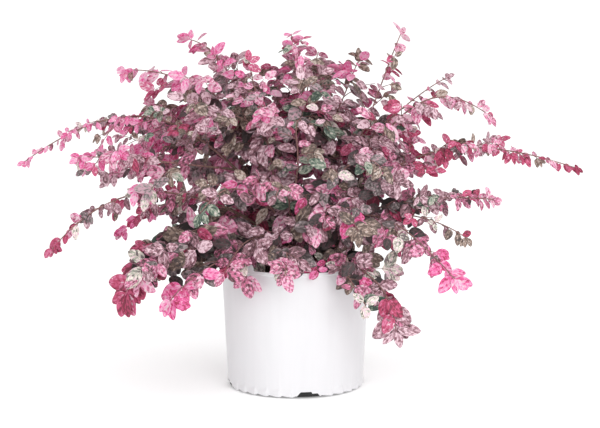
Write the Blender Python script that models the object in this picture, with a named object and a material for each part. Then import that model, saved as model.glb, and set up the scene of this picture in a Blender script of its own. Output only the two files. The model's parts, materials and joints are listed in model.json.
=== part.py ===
"""Potted variegated Chinese fringe flower.

A round plastic nursery pot full of bark mix holds one shrub: a short stem with a flared foot,
arching boughs, and one leafy mass that carries each bough on to the tip of its shoot.

Units are metres, with +Z up. The origin is the centre of the pot's flat underside. The shrub
spreads widest along X, and its front looks along -Y.
"""

import math
import random
from collections import namedtuple

import bmesh
import bpy
import numpy as np
from mathutils import Vector
from mathutils.bvhtree import BVHTree

# Pot, a three gallon nursery size
POT_HEIGHT = 0.237
POT_TOP_RADIUS = 0.1395
POT_FOOT_RADIUS = 0.1256
POT_WALL = 0.0022
POT_FLOOR = 0.003
POT_SIDES = 64
COLLAR_HEIGHT = 0.007
COLLAR_STEP = 0.0008
RIB_HEIGHT = 0.016
RIB_FADE = 0.004
RIB_DEPTH = 0.0009
TAB_ANGLE = math.radians(-38)
TAB_WIDTH = 0.024
TAB_HEIGHT = 0.012
TAB_ROUNDING = 0.005
TAB_INSET = 0.0003
POT_SMOOTHING = 30
NOTCH_ANGLE = math.radians(-79)
NOTCH_FOOT_WIDTH = 0.045
NOTCH_TOP_WIDTH = 0.027
NOTCH_HEIGHT = 0.012
NOTCH_REACH_IN = 0.014
QUARTERS = 4

# Bark mix, and the clear gap that neighbouring solids keep
GAP = 0.0003
MIX_TOP = 0.212
MIX_SIDES = 32

# Short stem, from a flat cut at the mix to the fork
STEM_HEIGHT = 0.066
STEM_FLARE_RADIUS = 0.018
STEM_RADIUS = 0.0085
STEM_TIP_RADIUS = 0.0052
STEM_FLARE_FADE = 0.011
STEM_LEAN = Vector((0.004, 0.003, 0.0))
STEM_SIDES = 9
STEM_RINGS = 8
STEM_RING_CROWDING = 1.6
STEM_SMOOTHING = 50

# Shoots: each is a bough and then the main twig of its leafy mass
BOUGH_SIDES = 5
BOUGH_SPAN = 0.045
BOUGH_ROOT_RADIUS = 0.0014
BOUGH_RADIUS_GAIN = 0.0018
BOUGH_SMOOTHING = 60
SHOOT_TIP_RADIUS = 0.0009
FORK_ANGLE = math.radians(38)
CHILD_THICKNESS = 0.85
RISE_PULL = 0.55
TIP_PULL = 0.62
WANDER = 0.012
WANDER_RISE = 4
TANGENT_STEP = 0.002
SEAT_STEPS = 12
SEAT_SAMPLES = 6
CLEARANCE = 0.0012

# Leafy masses
SEED = 41
SEED_STRIDE = 1000
CROWN_CENTRE = Vector((0.0, 0.0, 0.36))
CROWN_INNER = 0.17
CROWN_OUTER = 0.40
OWN_SPACE_STEP = 0.012
OWN_SPACE_MARGIN = 0.002
TRIES = 14

# Twigs: side ones leave the main one between two shares of it, and shorten towards its tip
TWIG_SIDES = 3
TWIG_SPAN = 0.050
TWIG_RADIUS = 0.0015
TWIG_TIP_RADIUS = 0.0009
TWIG_SHORT_OF_TIP = 0.9
TWIG_FIRST = 0.06
TWIG_STRETCH = 0.78
TWIG_PLACE = (0.1, 0.6)
TWIG_REACH = 0.62
TWIG_NARROWING = 1.3
TWIG_LONGEST = 0.15
TWIG_LENGTHS = (0.85, 1.15)
TWIG_LIFT = (-0.5, 0.75)
TWIG_FORWARD = 0.62
TWIG_TURN = 0.8
TWIG_TURN_STEP = 0.07
TWIG_SHRINK_STEP = 0.08
TWIG_JITTER = 0.15
TWIG_DROOP = 0.16

# Leaves: larger than life, so that few of them fill the crown
INNER_SPACING = 0.030
TIP_SPACING = 0.037
FIRST_LEAF = 0.75
INNER_LEAF = 0.088
TIP_LEAF = 0.056
LEAF_LENGTHS = (0.9, 1.1)
LEAF_WIDTH = 0.68
LEAF_WIDEST = 0.40
LEAF_NECK = 0.14
LEAF_THICKNESS = 0.0013
LEAF_FOLD = 0.09
LEAF_SINK = 0.0005
LEAF_SHRINK_STEP = 0.035
LEAF_HANG = (0.1, 1.1)
LEAF_LIFT = (-0.7, 0.5)
LEAF_FORWARD = (0.0, 0.6)
LEAF_SIDE = 0.95
LEAF_SIDE_STEP = 0.06
LEAF_JITTER = 0.35
TIP_LEAF_JITTER_STEP = 0.04
LEAF_FACE_UP = 0.55
LEAF_FACE_JITTER = 0.4
EDGE_ON = 0.3

NEAR_UPRIGHT = 0.95
FLAT_ANGLE = 0.01

Row = namedtuple(
    "Row", "name parent fork azimuth reach height crest_share crest_height leafy spread twigs"
)

# One row a shoot: what it springs from and at which share of that, the azimuth, reach and
# height of its tip, the share and height of its crest, the share where leaves begin, how
# widely its side twigs spread, and how many of them its mass has.
SHOOTS = (
    Row("left_long", "stem", 0.82, -178, 0.509, 0.415, 0.25, 0.711, 0.30, 0.7, 4),
    Row("left_mid", "left_long", 0.26, -160, 0.417, 0.449, 0.85, 0.460, 0.14, 0.8, 3),
    Row("left_low", "stem", 0.50, -164, 0.463, 0.273, 0.60, 0.520, 0.28, 0.45, 4),
    Row("left_hang", "left_low", 0.22, -151, 0.351, 0.202, 0.80, 0.330, 0.14, 0.8, 3),
    Row("left_drop", "stem", 0.22, -139, 0.303, 0.194, 0.45, 0.335, 0.22, 0.8, 3),
    Row("upper_left", "left_long", 0.14, 171, 0.326, 0.584, 0.05, 0.600, 0.14, 1.0, 4),
    Row("top_left", "stem", 0.97, 165, 0.210, 0.642, 0.05, 0.610, 0.22, 1.1, 4),
    Row("top_front", "stem", 0.88, -131, 0.13, 0.622, 0.55, 0.480, 0.20, 1.3, 3),
    Row("top_centre", "stem", 1.00, 114, 0.020, 0.657, -0.40, 0.600, 0.20, 0.9, 4),
    Row("top_right", "stem", 0.92, 6, 0.197, 0.660, 0.65, 0.500, 0.26, 0.8, 3),
    Row("crown_right", "top_right", 0.20, 33, 0.147, 0.608, 0.60, 0.560, 0.14, 1.2, 3),
    Row("right_upper", "right_droop", 0.20, 16, 0.297, 0.567, 0.40, 0.517, 0.20, 0.8, 3),
    Row("right_droop", "stem", 0.78, -5, 0.365, 0.504, 0.30, 0.700, 0.28, 0.6, 3),
    Row("right_long", "stem", 0.62, 2, 0.534, 0.4, 0.1, 0.58, 0.38, 0.6, 4),
    Row("right_mid", "right_low", 0.24, -12, 0.374, 0.362, 0.40, 0.380, 0.22, 0.6, 3),
    Row("right_side", "right_low", 0.16, -25, 0.345, 0.300, 0.50, 0.400, 0.22, 0.6, 3),
    Row("right_low", "stem", 0.46, -33, 0.348, 0.230, 0.25, 0.480, 0.28, 0.8, 3),
    Row("right_hang", "stem", 0.30, -48, 0.271, 0.140, 0.85, 0.321, 0.24, 0.7, 3),
    Row("front_drop", "stem", 0.37, -60, 0.254, 0.191, 0.65, 0.290, 0.22, 0.8, 3),
    Row("front_centre", "stem", 0.28, -95, 0.221, 0.247, 0.50, 0.340, 0.20, 1.0, 3),
    Row("front_left", "stem", 0.38, -127, 0.215, 0.240, 0.50, 0.370, 0.20, 1.0, 3),
    Row("front_mid_left", "stem", 0.72, -131, 0.262, 0.355, 0.50, 0.480, 0.20, 1.0, 3),
    Row("front_mid", "stem", 0.58, -100, 0.203, 0.385, 0.45, 0.480, 0.18, 1.0, 3),
    Row("front_mid_right", "stem", 0.66, -60, 0.225, 0.325, 0.45, 0.440, 0.20, 1.2, 3),
    Row("front_right", "stem", 0.86, -43, 0.220, 0.425, 0.45, 0.520, 0.18, 0.9, 3),
    Row("front_top", "stem", 0.95, -86, 0.140, 0.515, 0.40, 0.560, 0.22, 1.1, 3),
    Row("back_right", "stem", 0.70, 55, 0.400, 0.420, 0.48, 0.58, 0.24, 0.6, 4),
    Row("back_right_low", "stem", 0.42, 66, 0.330, 0.240, 0.58, 0.46, 0.24, 1.0, 3),
    Row("back_mid", "stem", 0.74, 90, 0.400, 0.430, 0.45, 0.58, 0.24, 1.0, 4),
    Row("back_top", "stem", 0.88, 78, 0.210, 0.600, 0.40, 0.58, 0.22, 1.1, 4),
    Row("back_low", "stem", 0.36, 105, 0.300, 0.215, 0.58, 0.42, 0.20, 1.0, 3),
    Row("back_left", "stem", 0.64, 138, 0.430, 0.380, 0.48, 0.58, 0.24, 1.0, 4),
    Row("back_left_low", "stem", 0.40, 158, 0.360, 0.260, 0.55, 0.44, 0.24, 0.9, 3),
)

# Shoots whose mass springs straight from what carries it, with no bough between
WITHOUT_BOUGH = ("top_centre", "top_front", "front_centre", "front_left", "front_mid",
                 "front_right", "crown_right", "right_side", "back_low")

LEAF_COLOURS = (
    (0.30, 0.13, 0.19),
    (0.42, 0.17, 0.27),
    (0.24, 0.14, 0.16),
    (0.55, 0.16, 0.31),
    (0.33, 0.20, 0.23),
)


def clear_scene():
    for thing in list(bpy.data.objects):
        bpy.data.objects.remove(thing)


def material(name, colour, roughness, metallic=0.0):
    made = bpy.data.materials.new(name)
    made.use_nodes = True
    shader = made.node_tree.nodes["Principled BSDF"]
    shader.inputs["Base Color"].default_value = (*colour, 1.0)
    shader.inputs["Roughness"].default_value = roughness
    shader.inputs["Metallic"].default_value = metallic
    return made


def add_object(name, mesh, finish=None):
    made = bpy.data.objects.new(name, mesh)
    bpy.context.scene.collection.objects.link(made)
    if finish:
        mesh.materials.append(finish)
    return made


def mesh_from(name, points, faces):
    """A mesh whose faces are all turned outwards."""
    mesh = bpy.data.meshes.new(name)
    mesh.from_pydata([tuple(p) for p in points], [], faces)
    shape = bmesh.new()
    shape.from_mesh(mesh)
    bmesh.ops.recalc_face_normals(shape, faces=shape.faces)
    shape.to_mesh(mesh)
    shape.free()
    return mesh


def smooth_by_angle(mesh, degrees):
    mesh.shade_smooth()
    mesh.set_sharp_from_angle(angle=math.radians(degrees))


def at_azimuth(angle, radius, height):
    return Vector((radius * math.cos(angle), radius * math.sin(angle), height))


def apply_modifiers(thing):
    """Replaces the object's mesh by what its modifiers make of it."""
    graph = bpy.context.evaluated_depsgraph_get()
    made = bpy.data.meshes.new_from_object(thing.evaluated_get(graph))
    thing.modifiers.clear()
    thing.data = made


def boolean(thing, others, operation):
    """One Boolean with a collection of helpers, applied, and the helpers then removed."""
    helpers = bpy.data.collections.new(thing.name + "_helpers")
    bpy.context.scene.collection.children.link(helpers)
    for other in others:
        bpy.context.scene.collection.objects.unlink(other)
        helpers.objects.link(other)
    modifier = thing.modifiers.new(operation.title(), "BOOLEAN")
    modifier.operation = operation
    modifier.operand_type = "COLLECTION"
    modifier.collection = helpers
    modifier.solver = "EXACT"
    apply_modifiers(thing)
    for other in others:
        bpy.data.objects.remove(other)
    bpy.data.collections.remove(helpers)


def keep_largest_shell(mesh):
    """Drops loose scraps, and fills sealed hollows by dropping their walls."""
    shape = bmesh.new()
    shape.from_mesh(mesh)
    bmesh.ops.dissolve_limit(
        shape, angle_limit=FLAT_ANGLE, verts=shape.verts, edges=shape.edges)
    unseen = set(shape.verts)
    shells = []
    while unseen:
        shell = {unseen.pop()}
        front = list(shell)
        while front:
            vert = front.pop()
            for edge in vert.link_edges:
                other = edge.other_vert(vert)
                if other in unseen:
                    unseen.discard(other)
                    shell.add(other)
                    front.append(other)
        shells.append(shell)
    largest = max(shells, key=len)
    scraps = [vert for shell in shells if shell is not largest for vert in shell]
    bmesh.ops.delete(shape, geom=scraps, context="VERTS")
    shape.to_mesh(mesh)
    shape.free()


def turned(name, profile, sides, radius_at=None):
    """A solid turned from a closed (radius, height) profile, points on the axis merged."""
    points = []
    rings = []
    for radius, height in profile:
        if radius == 0:
            rings.append([len(points)] * sides)
            points.append(Vector((0, 0, height)))
            continue
        rings.append(list(range(len(points), len(points) + sides)))
        for side in range(sides):
            out = radius_at(radius, height, side) if radius_at else radius
            points.append(at_azimuth(2 * math.pi * side / sides, out, height))
    faces = []
    for low, high in zip(rings, rings[1:] + rings[:1]):
        for side in range(sides):
            after = (side + 1) % sides
            corners = (low[side], low[after], high[after], high[side])
            face = list(dict.fromkeys(corners))
            if len(face) > 2:
                faces.append(face)
    return mesh_from(name, points, faces)


def pot_radius(height):
    """Outer radius of the tapered wall, without ribs or collar."""
    return POT_FOOT_RADIUS + (POT_TOP_RADIUS - POT_FOOT_RADIUS) * height / POT_HEIGHT


def pot_wall_profile():
    inner_foot = pot_radius(POT_FLOOR) - POT_WALL
    collar_low = POT_HEIGHT - COLLAR_HEIGHT
    return (
        (0, 0),
        (POT_FOOT_RADIUS, 0),
        (pot_radius(RIB_HEIGHT), RIB_HEIGHT),
        (pot_radius(RIB_HEIGHT + RIB_FADE), RIB_HEIGHT + RIB_FADE),
        (pot_radius(collar_low) - COLLAR_STEP, collar_low),
        (pot_radius(collar_low), collar_low + COLLAR_STEP),
        (POT_TOP_RADIUS, POT_HEIGHT),
        (POT_TOP_RADIUS - POT_WALL, POT_HEIGHT),
        (inner_foot, POT_FLOOR),
        (0, POT_FLOOR),
    )


def ribbed(radius, height, side):
    """Every second corner of the foot band stands out as a short upright rib."""
    in_band = height <= RIB_HEIGHT and radius > POT_FOOT_RADIUS - POT_WALL
    return radius + RIB_DEPTH if in_band and side % 2 else radius


def rim_tab(angle):
    """A grip that rises from the rim, rounded at its upper corners."""
    middle = POT_TOP_RADIUS - POT_WALL / 2
    half_thick = POT_WALL / 2 - TAB_INSET
    half = TAB_WIDTH / 2
    low = POT_HEIGHT - COLLAR_HEIGHT
    high = POT_HEIGHT + TAB_HEIGHT
    outline = ((-half, low), (half, low), (half, high - TAB_ROUNDING),
               (half - TAB_ROUNDING, high), (TAB_ROUNDING - half, high),
               (-half, high - TAB_ROUNDING))
    points = []
    for out in (-half_thick, half_thick):
        for along, height in outline:
            slope = pot_radius(height) - POT_TOP_RADIUS
            points.append(at_azimuth(angle + along / middle, middle + slope + out, height))
    count = len(outline)
    faces = [tuple(range(count)), tuple(range(2 * count - 1, count - 1, -1))]
    for side in range(count):
        after = (side + 1) % count
        faces.append((side, side + count, after + count, after))
    return add_object("tab", mesh_from("tab", points, faces))


def drain_notch(angle):
    """A cutter for one drain notch: a wedge through the foot of the wall and the floor's edge."""
    inner = POT_FOOT_RADIUS - NOTCH_REACH_IN
    outer = POT_FOOT_RADIUS + NOTCH_REACH_IN
    below = -NOTCH_HEIGHT / 2
    spread = (NOTCH_FOOT_WIDTH - NOTCH_TOP_WIDTH) / 2 / NOTCH_HEIGHT
    half_low = NOTCH_FOOT_WIDTH / 2 - below * spread
    half_high = NOTCH_TOP_WIDTH / 2
    outward = at_azimuth(angle, 1, 0)
    along = at_azimuth(angle + math.pi / 2, 1, 0)
    points = []
    for reach in (inner, outer):
        for side, height in ((-half_low, below), (half_low, below),
                             (half_high, NOTCH_HEIGHT), (-half_high, NOTCH_HEIGHT)):
            points.append(outward * reach + along * side + Vector((0, 0, height)))
    faces = ((0, 1, 2, 3), (7, 6, 5, 4), (0, 4, 5, 1), (1, 5, 6, 2), (2, 6, 7, 3), (3, 7, 4, 0))
    return add_object("notch", mesh_from("notch", points, faces))


def make_pot():
    plastic = material("pot_white_plastic", (0.86, 0.85, 0.88), 0.42)
    mesh = turned("pot", pot_wall_profile(), POT_SIDES, ribbed)
    pot = add_object("pot", mesh, plastic)
    quarter = 2 * math.pi / QUARTERS
    boolean(pot, [rim_tab(TAB_ANGLE + k * quarter) for k in range(QUARTERS)], "UNION")
    boolean(pot, [drain_notch(NOTCH_ANGLE + k * quarter) for k in range(QUARTERS)], "DIFFERENCE")
    smooth_by_angle(pot.data, POT_SMOOTHING)
    return pot


def make_mix():
    """The bark mix that fills the pot, level on top and just clear of wall and floor."""
    low = POT_FLOOR + GAP
    inside = math.cos(math.pi / POT_SIDES)

    def radius(height):
        return (pot_radius(height) - POT_WALL) * inside - GAP

    profile = ((0, low), (radius(low), low), (radius(MIX_TOP), MIX_TOP), (0, MIX_TOP))
    bark = material("bark_mix", (0.07, 0.045, 0.03), 0.95)
    return add_object("potting_mix", turned("potting_mix", profile, MIX_SIDES), bark)


def frame_along(points, ends):
    """A tangent and two sideways directions at each point, carried along without twisting."""
    frames = []
    side = None
    for index in range(len(points)):
        before = points[max(index - 1, 0)]
        after = points[min(index + 1, len(points) - 1)]
        tangent = (after - before).normalized()
        if ends and index in (0, len(points) - 1):
            tangent = ends[min(index, 1)]
        if side is None:
            helper = Vector((0, 0, 1)) if abs(tangent.z) < NEAR_UPRIGHT else Vector((1, 0, 0))
            side = tangent.cross(helper)
        side = (side - tangent * side.dot(tangent)).normalized()
        frames.append((tangent, side, side.cross(tangent)))
    return frames


def tube(points, radii, sides, ends=None):
    """(points, faces) of a closed limb, one corner lowest, with flat ends square to its path.

    Two end directions may be given, so that limbs that meet end to end have parallel faces.
    """
    corners = []
    for point, radius, (_, side, up) in zip(points, radii, frame_along(points, ends)):
        for k in range(sides):
            angle = 2 * math.pi * k / sides - math.pi / 2
            corners.append(point + (side * math.cos(angle) + up * math.sin(angle)) * radius)
    faces = [tuple(range(sides)), tuple(range(len(corners) - 1, len(corners) - sides - 1, -1))]
    for ring in range(len(points) - 1):
        for k in range(sides):
            after = (k + 1) % sides
            low = ring * sides
            high = low + sides
            faces.append((low + k, high + k, high + after, low + after))
    return corners, faces


def tree_of(shapes):
    """One search tree over several (points, faces) shapes."""
    points = []
    faces = []
    for shape_points, shape_faces in shapes:
        start = len(points)
        points.extend(shape_points)
        faces.extend(tuple(corner + start for corner in face) for face in shape_faces)
    return BVHTree.FromPolygons(points, faces)


class Stem:
    """The short stem: it leans a little and narrows from its flared foot to its tip."""

    name = "stem"

    def point(self, share):
        return Vector((0, 0, MIX_TOP + GAP + STEM_HEIGHT * share)) + STEM_LEAN * share

    def tangent(self, share):
        return (self.point(1) - self.point(0)).normalized()

    def radius(self, share):
        taper = STEM_RADIUS + (STEM_TIP_RADIUS - STEM_RADIUS) * share
        flare = STEM_FLARE_RADIUS - STEM_RADIUS
        return taper + flare * math.exp(-share * STEM_HEIGHT / STEM_FLARE_FADE)


class Shoot:
    """One arching limb from its fork to its tip, as a cubic curve with a slight wander."""

    def __init__(self, row, parent, number):
        self.row = row
        self.name = row.name
        self.bough_end = 0.0 if row.name in WITHOUT_BOUGH else row.leafy
        self.rng = random.Random(SEED * SEED_STRIDE + number)
        azimuth = math.radians(row.azimuth)
        self.tip = at_azimuth(azimuth, row.reach, row.height)
        self.phase = self.rng.uniform(0, 2 * math.pi)
        fork = parent.point(row.fork)
        along = parent.tangent(row.fork)
        crest = fork + (self.tip - fork) * row.crest_share
        crest.z = row.crest_height
        aim = (crest - fork).normalized()
        self.on_tip = row.fork == 1.0
        self.sideways = (aim - along * aim.dot(along)).normalized()
        if self.on_tip:
            aim = along
        else:
            angle = max(aim.angle(along), FORK_ANGLE)
            aim = along * math.cos(angle) + self.sideways * math.sin(angle)
        length = (crest - fork).length + (self.tip - crest).length
        thickest = BOUGH_ROOT_RADIUS + BOUGH_RADIUS_GAIN * length
        self.root_radius = min(thickest, CHILD_THICKNESS * parent.radius(row.fork))
        if self.on_tip:
            start = fork + along * GAP
        else:
            clear = parent.radius(row.fork) + GAP + self.root_radius * abs(aim.dot(along))
            start = fork + self.sideways * clear
        self.controls = [
            start,
            start + aim * (crest - start).length * RISE_PULL,
            self.tip + (crest - self.tip) * TIP_PULL,
            self.tip,
        ]
        self.twig_end = 1 - TWIG_SHORT_OF_TIP * TIP_LEAF / length
        level = Vector((-math.sin(azimuth), math.cos(azimuth), 0))
        self.sway = level * WANDER * length

    def point(self, share):
        rest = 1 - share
        weights = (rest**3, 3 * rest * rest * share, 3 * rest * share * share, share**3)
        place = Vector((0, 0, 0))
        for weight, control in zip(weights, self.controls):
            place = place + control * weight
        swing = math.sin(math.pi * share) * math.sin(3 * math.pi * share + self.phase)
        return place + self.sway * swing * min(1.0, WANDER_RISE * share)

    def tangent(self, share):
        ahead = self.point(min(share + TANGENT_STEP, 1.0))
        return (ahead - self.point(max(share - TANGENT_STEP, 0.0))).normalized()

    def radius(self, share):
        return self.root_radius + (SHOOT_TIP_RADIUS - self.root_radius) * share

    def root_rim(self):
        """Points along the edges of the flat face where this limb starts."""
        sides = TWIG_SIDES if self.bough_end == 0.0 else BOUGH_SIDES
        root = self.point(0.0)
        out = self.tangent(0.0)
        rim = tube([root, root + out], [self.root_radius] * 2, sides, (out, out))[0][:sides]
        shares = [k / SEAT_SAMPLES for k in range(SEAT_SAMPLES)]
        return [a.lerp(b, share) for a, b in zip(rim, rim[1:] + rim[:1]) for share in shares]

    def seat(self, bark):
        """Slides the root sideways until its rim is one gap clear of the parent's bark."""
        for _ in range(SEAT_STEPS):
            away = min(bark.find_nearest(place)[3] for place in self.root_rim())
            slide = self.sideways * (GAP - away)
            self.controls[0] = self.controls[0] + slide
            self.controls[1] = self.controls[1] + slide

    def stretch(self, first, last, span):
        """Points and radii from one share to another, about a span apart."""
        count = max(2, round((self.point(last) - self.point(first)).length / span) + 1)
        shares = [first + (last - first) * k / count for k in range(count + 1)]
        return [self.point(s) for s in shares], [self.radius(s) for s in shares]


def make_shoots():
    """Every limb after its parent, and each one seated on the bark that carries it."""
    limbs = {"stem": Stem()}
    bark = {"stem": tree_of([stem_tube(limbs["stem"])])}
    waiting = list(enumerate(SHOOTS))
    while waiting:
        number, row = waiting.pop(0)
        if row.parent not in limbs:
            waiting.append((number, row))
            continue
        shoot = Shoot(row, limbs[row.parent], number)
        if not shoot.on_tip:
            shoot.seat(bark[row.parent])
        limbs[row.name] = shoot
        if row.name not in WITHOUT_BOUGH:
            bark[row.name] = tree_of([bough_tube(shoot)])
    return limbs.pop("stem"), [limbs[row.name] for row in SHOOTS]


def stem_tube(stem):
    """The stem's shape, its foot cut level on the mix."""
    shares = [(k / STEM_RINGS) ** STEM_RING_CROWDING for k in range(STEM_RINGS + 1)]
    points = [stem.point(s) for s in shares]
    radii = [stem.radius(s) for s in shares]
    corners, faces = tube(points, radii, STEM_SIDES)
    for corner in corners[:STEM_SIDES]:
        corner.z = MIX_TOP + GAP
    return corners, faces


def make_stem(stem, wood):
    made = add_object("stem", mesh_from("stem", *stem_tube(stem)), wood)
    smooth_by_angle(made.data, STEM_SMOOTHING)
    return made


def bough_tube(shoot, spare=0.0):
    """The bough's shape: its far end stops a gap short of the main twig of its mass."""
    points, radii = shoot.stretch(0.0, shoot.bough_end, BOUGH_SPAN)
    ends = (shoot.tangent(0.0), shoot.tangent(shoot.bough_end))
    points[-1] = points[-1] - ends[1] * GAP
    return tube(points, [radius + spare for radius in radii], BOUGH_SIDES, ends)


def make_bough(shoot, wood):
    corners, faces = bough_tube(shoot)
    name = "bough_" + shoot.name
    made = add_object(name, mesh_from(name, corners, faces), wood)
    smooth_by_angle(made.data, BOUGH_SMOOTHING)


class OwnSpace:
    """Shares the air among the masses: a point belongs to the nearest main twig."""

    def __init__(self, shoots):
        points = []
        owners = []
        for number, shoot in enumerate(shoots):
            for point in shoot.stretch(shoot.bough_end, 1.0, OWN_SPACE_STEP)[0]:
                points.append(point)
                owners.append(number)
        self.points = np.array(points)
        self.owners = np.array(owners)

    def holds(self, number, places):
        """Whether every place is nearer to this mass's main twig than to any other's."""
        away = np.array(places)[:, None, :] - self.points[None]
        distance = np.sqrt((away**2).sum(axis=2))
        own = distance[:, self.owners == number].min(axis=1)
        other = distance[:, self.owners != number].min(axis=1)
        return bool((own + OWN_SPACE_MARGIN < other).all())


def mesh_shape(thing):
    points = [vert.co.copy() for vert in thing.data.vertices]
    return points, [tuple(face.vertices) for face in thing.data.polygons]


def limb_shapes(shoots):
    """Each bough a little fatter than it is, for what grows near it to keep clear of."""
    return [bough_tube(shoot, CLEARANCE) for shoot in shoots if shoot.name not in WITHOUT_BOUGH]


class Leaf:
    """One folded, pointed leaf: a root, two side corners and a tip, thick along its midrib."""

    def __init__(self, root, axis, normal, length):
        across = axis.cross(normal).normalized()
        normal = across.cross(axis).normalized()
        half = length * LEAF_WIDTH / 2
        fold = normal * (length * LEAF_FOLD)
        widest = root + axis * (length * LEAF_WIDEST)
        self.root = root - axis * LEAF_SINK
        self.left = widest + across * half - fold
        self.right = widest - across * half - fold
        self.ridge = widest + normal * LEAF_THICKNESS
        self.tip = root + axis * length
        self.neck = root + axis * (length * LEAF_NECK)

    def shape(self):
        points = [self.root, self.left, self.right, self.tip, self.ridge]
        faces = [(0, 1, 4), (0, 4, 2), (1, 3, 4), (4, 3, 2), (0, 3, 1), (0, 2, 3)]
        return points, faces

    def blade(self):
        """The leaf's surface clear of its root, for testing what it touches."""
        return [self.neck, self.left, self.tip, self.right], [(0, 1, 2), (0, 2, 3)]

    def places(self):
        corners = (self.neck, self.left, self.tip, self.right)
        between = [(a + b) / 2 for a, b in zip(corners, corners[1:] + corners[:1])]
        return [*corners, *between, self.ridge]


class Mass:
    """The twigs and leaves of one shoot, grown by a seeded rule inside its own space."""

    def __init__(self, shoot, number, space, limbs):
        self.shoot = shoot
        self.number = number
        self.space = space
        self.limbs = limbs
        self.rng = shoot.rng
        self.twigs = []
        self.solids = []
        self.blades = []

    def jitter(self, amount):
        return Vector([self.rng.uniform(-amount, amount) for _ in range(3)])

    def clear_of_limbs(self, shape):
        return not tree_of([shape]).overlap(self.limbs)

    def add_twig(self, points, root_radius, tip_radius, ends=None):
        count = len(points) - 1
        radii = [root_radius + (tip_radius - root_radius) * k / count for k in range(count + 1)]
        self.twigs.append(points)
        self.solids.append(tube(points, radii, TWIG_SIDES, ends))

    def grow_main(self):
        shoot = self.shoot
        points, radii = shoot.stretch(shoot.bough_end, shoot.twig_end, TWIG_SPAN)
        ends = (shoot.tangent(shoot.bough_end), shoot.tangent(shoot.twig_end))
        self.add_twig(points, radii[0], TWIG_TIP_RADIUS, ends)

    def grow_side_twigs(self):
        """Side twigs leave the main one left and right by turns, and droop towards their tips."""
        shoot = self.shoot
        leafy = shoot.row.leafy
        full = (shoot.point(1.0) - shoot.point(leafy)).length
        for k in range(shoot.row.twigs):
            place = (k + self.rng.uniform(*TWIG_PLACE)) / shoot.row.twigs
            share = TWIG_FIRST + TWIG_STRETCH * place
            root = shoot.point(leafy + (1 - leafy) * share)
            tangent = shoot.tangent(leafy + (1 - leafy) * share)
            side = tangent.cross(Vector((0, 0, 1))).normalized() * (-1) ** k
            rise = side.cross(tangent) * (-1) ** k
            longest = min(TWIG_REACH * (1 - share) ** TWIG_NARROWING * full, TWIG_LONGEST)
            longest *= shoot.row.spread * self.rng.uniform(*TWIG_LENGTHS)
            for attempt in range(TRIES):
                lift = rise * self.rng.uniform(*TWIG_LIFT)
                turn = side * (TWIG_TURN - TWIG_TURN_STEP * attempt)
                heading = tangent * TWIG_FORWARD + turn + lift + self.jitter(TWIG_JITTER)
                length = longest * (1 - TWIG_SHRINK_STEP * attempt)
                droop = Vector((0, 0, -TWIG_DROOP * length))
                points = self.twig_points(root, heading.normalized() * length, droop)
                thin = tube(points[1:], [TWIG_RADIUS + CLEARANCE] * (len(points) - 1), TWIG_SIDES)
                if self.space.holds(self.number, points) and self.clear_of_limbs(thin):
                    self.add_twig(points, TWIG_RADIUS, TWIG_TIP_RADIUS)
                    break

    @staticmethod
    def twig_points(root, heading, droop):
        count = max(2, round(heading.length / TWIG_SPAN) + 1)
        shares = [k / count for k in range(count + 1)]
        return [root + heading * share + droop * share * share for share in shares]

    @staticmethod
    def outness(place):
        """0 in the middle of the crown, 1 out on the long shoots."""
        out = (place - CROWN_CENTRE).length
        return min(max((out - CROWN_INNER) / (CROWN_OUTER - CROWN_INNER), 0.0), 1.0)

    def leaf_length(self, place):
        """Leaves are shorter towards the outside of the crown."""
        share = self.outness(place)
        return (INNER_LEAF + (TIP_LEAF - INNER_LEAF) * share) * self.rng.uniform(*LEAF_LENGTHS)

    def try_leaf(self, root, tangent, side, at_tip):
        """Places a leaf, turning and shrinking it until it fits, or leaves it out."""
        longest = TIP_LEAF if at_tip else self.leaf_length(root)
        for attempt in range(TRIES):
            length = longest * (1 - LEAF_SHRINK_STEP * attempt)
            if at_tip:
                axis = tangent + self.jitter(TIP_LEAF_JITTER_STEP * attempt)
            else:
                hang = self.rng.uniform(*(LEAF_HANG if attempt < TRIES / 2 else LEAF_LIFT))
                aside = side * (LEAF_SIDE - LEAF_SIDE_STEP * attempt)
                ahead = tangent * self.rng.uniform(*LEAF_FORWARD)
                axis = ahead + aside - Vector((0, 0, hang)) + self.jitter(LEAF_JITTER)
            axis.normalize()
            outward = Vector((root.x, root.y, 0)).normalized()
            normal = Vector((0, 0, LEAF_FACE_UP)) + outward + self.jitter(LEAF_FACE_JITTER)
            if axis.cross(normal).length < EDGE_ON:
                continue
            leaf = Leaf(root, axis, normal, length)
            if not self.space.holds(self.number, leaf.places()):
                continue
            if not self.clear_of_limbs(leaf.blade()):
                continue
            if self.blades and tree_of([leaf.blade()]).overlap(tree_of(self.blades)):
                continue
            self.solids.append(leaf.shape())
            self.blades.append(leaf.blade())
            return

    def grow_leaves(self):
        shoot = self.shoot
        bare_share = (shoot.row.leafy - shoot.bough_end) / (1 - shoot.bough_end)
        for number, points in enumerate(self.twigs):
            lengths = [(b - a).length for a, b in zip(points, points[1:])]
            total = sum(lengths)
            bare = total * bare_share if number == 0 else 0.0
            share = self.outness(points[len(points) // 2])
            spacing = INNER_SPACING + (TIP_SPACING - INNER_SPACING) * share
            count = max(1, round((total - bare) / spacing))
            turn = self.rng.choice((-1, 1))
            for k in range(count):
                along = bare + (total - bare) * (k + FIRST_LEAF) / count
                at_tip = k == count - 1
                along = min(along, total - LEAF_SINK)
                piece = 0
                while piece < len(lengths) - 1 and along > lengths[piece]:
                    along -= lengths[piece]
                    piece += 1
                tangent = (points[piece + 1] - points[piece]).normalized()
                root = points[piece] + tangent * along
                across = tangent.cross(Vector((0, 0, 1)))
                side = across.normalized() * turn * (0.0 if at_tip else 1.0)
                self.try_leaf(root, tangent, side, at_tip)
                turn = -turn

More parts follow.
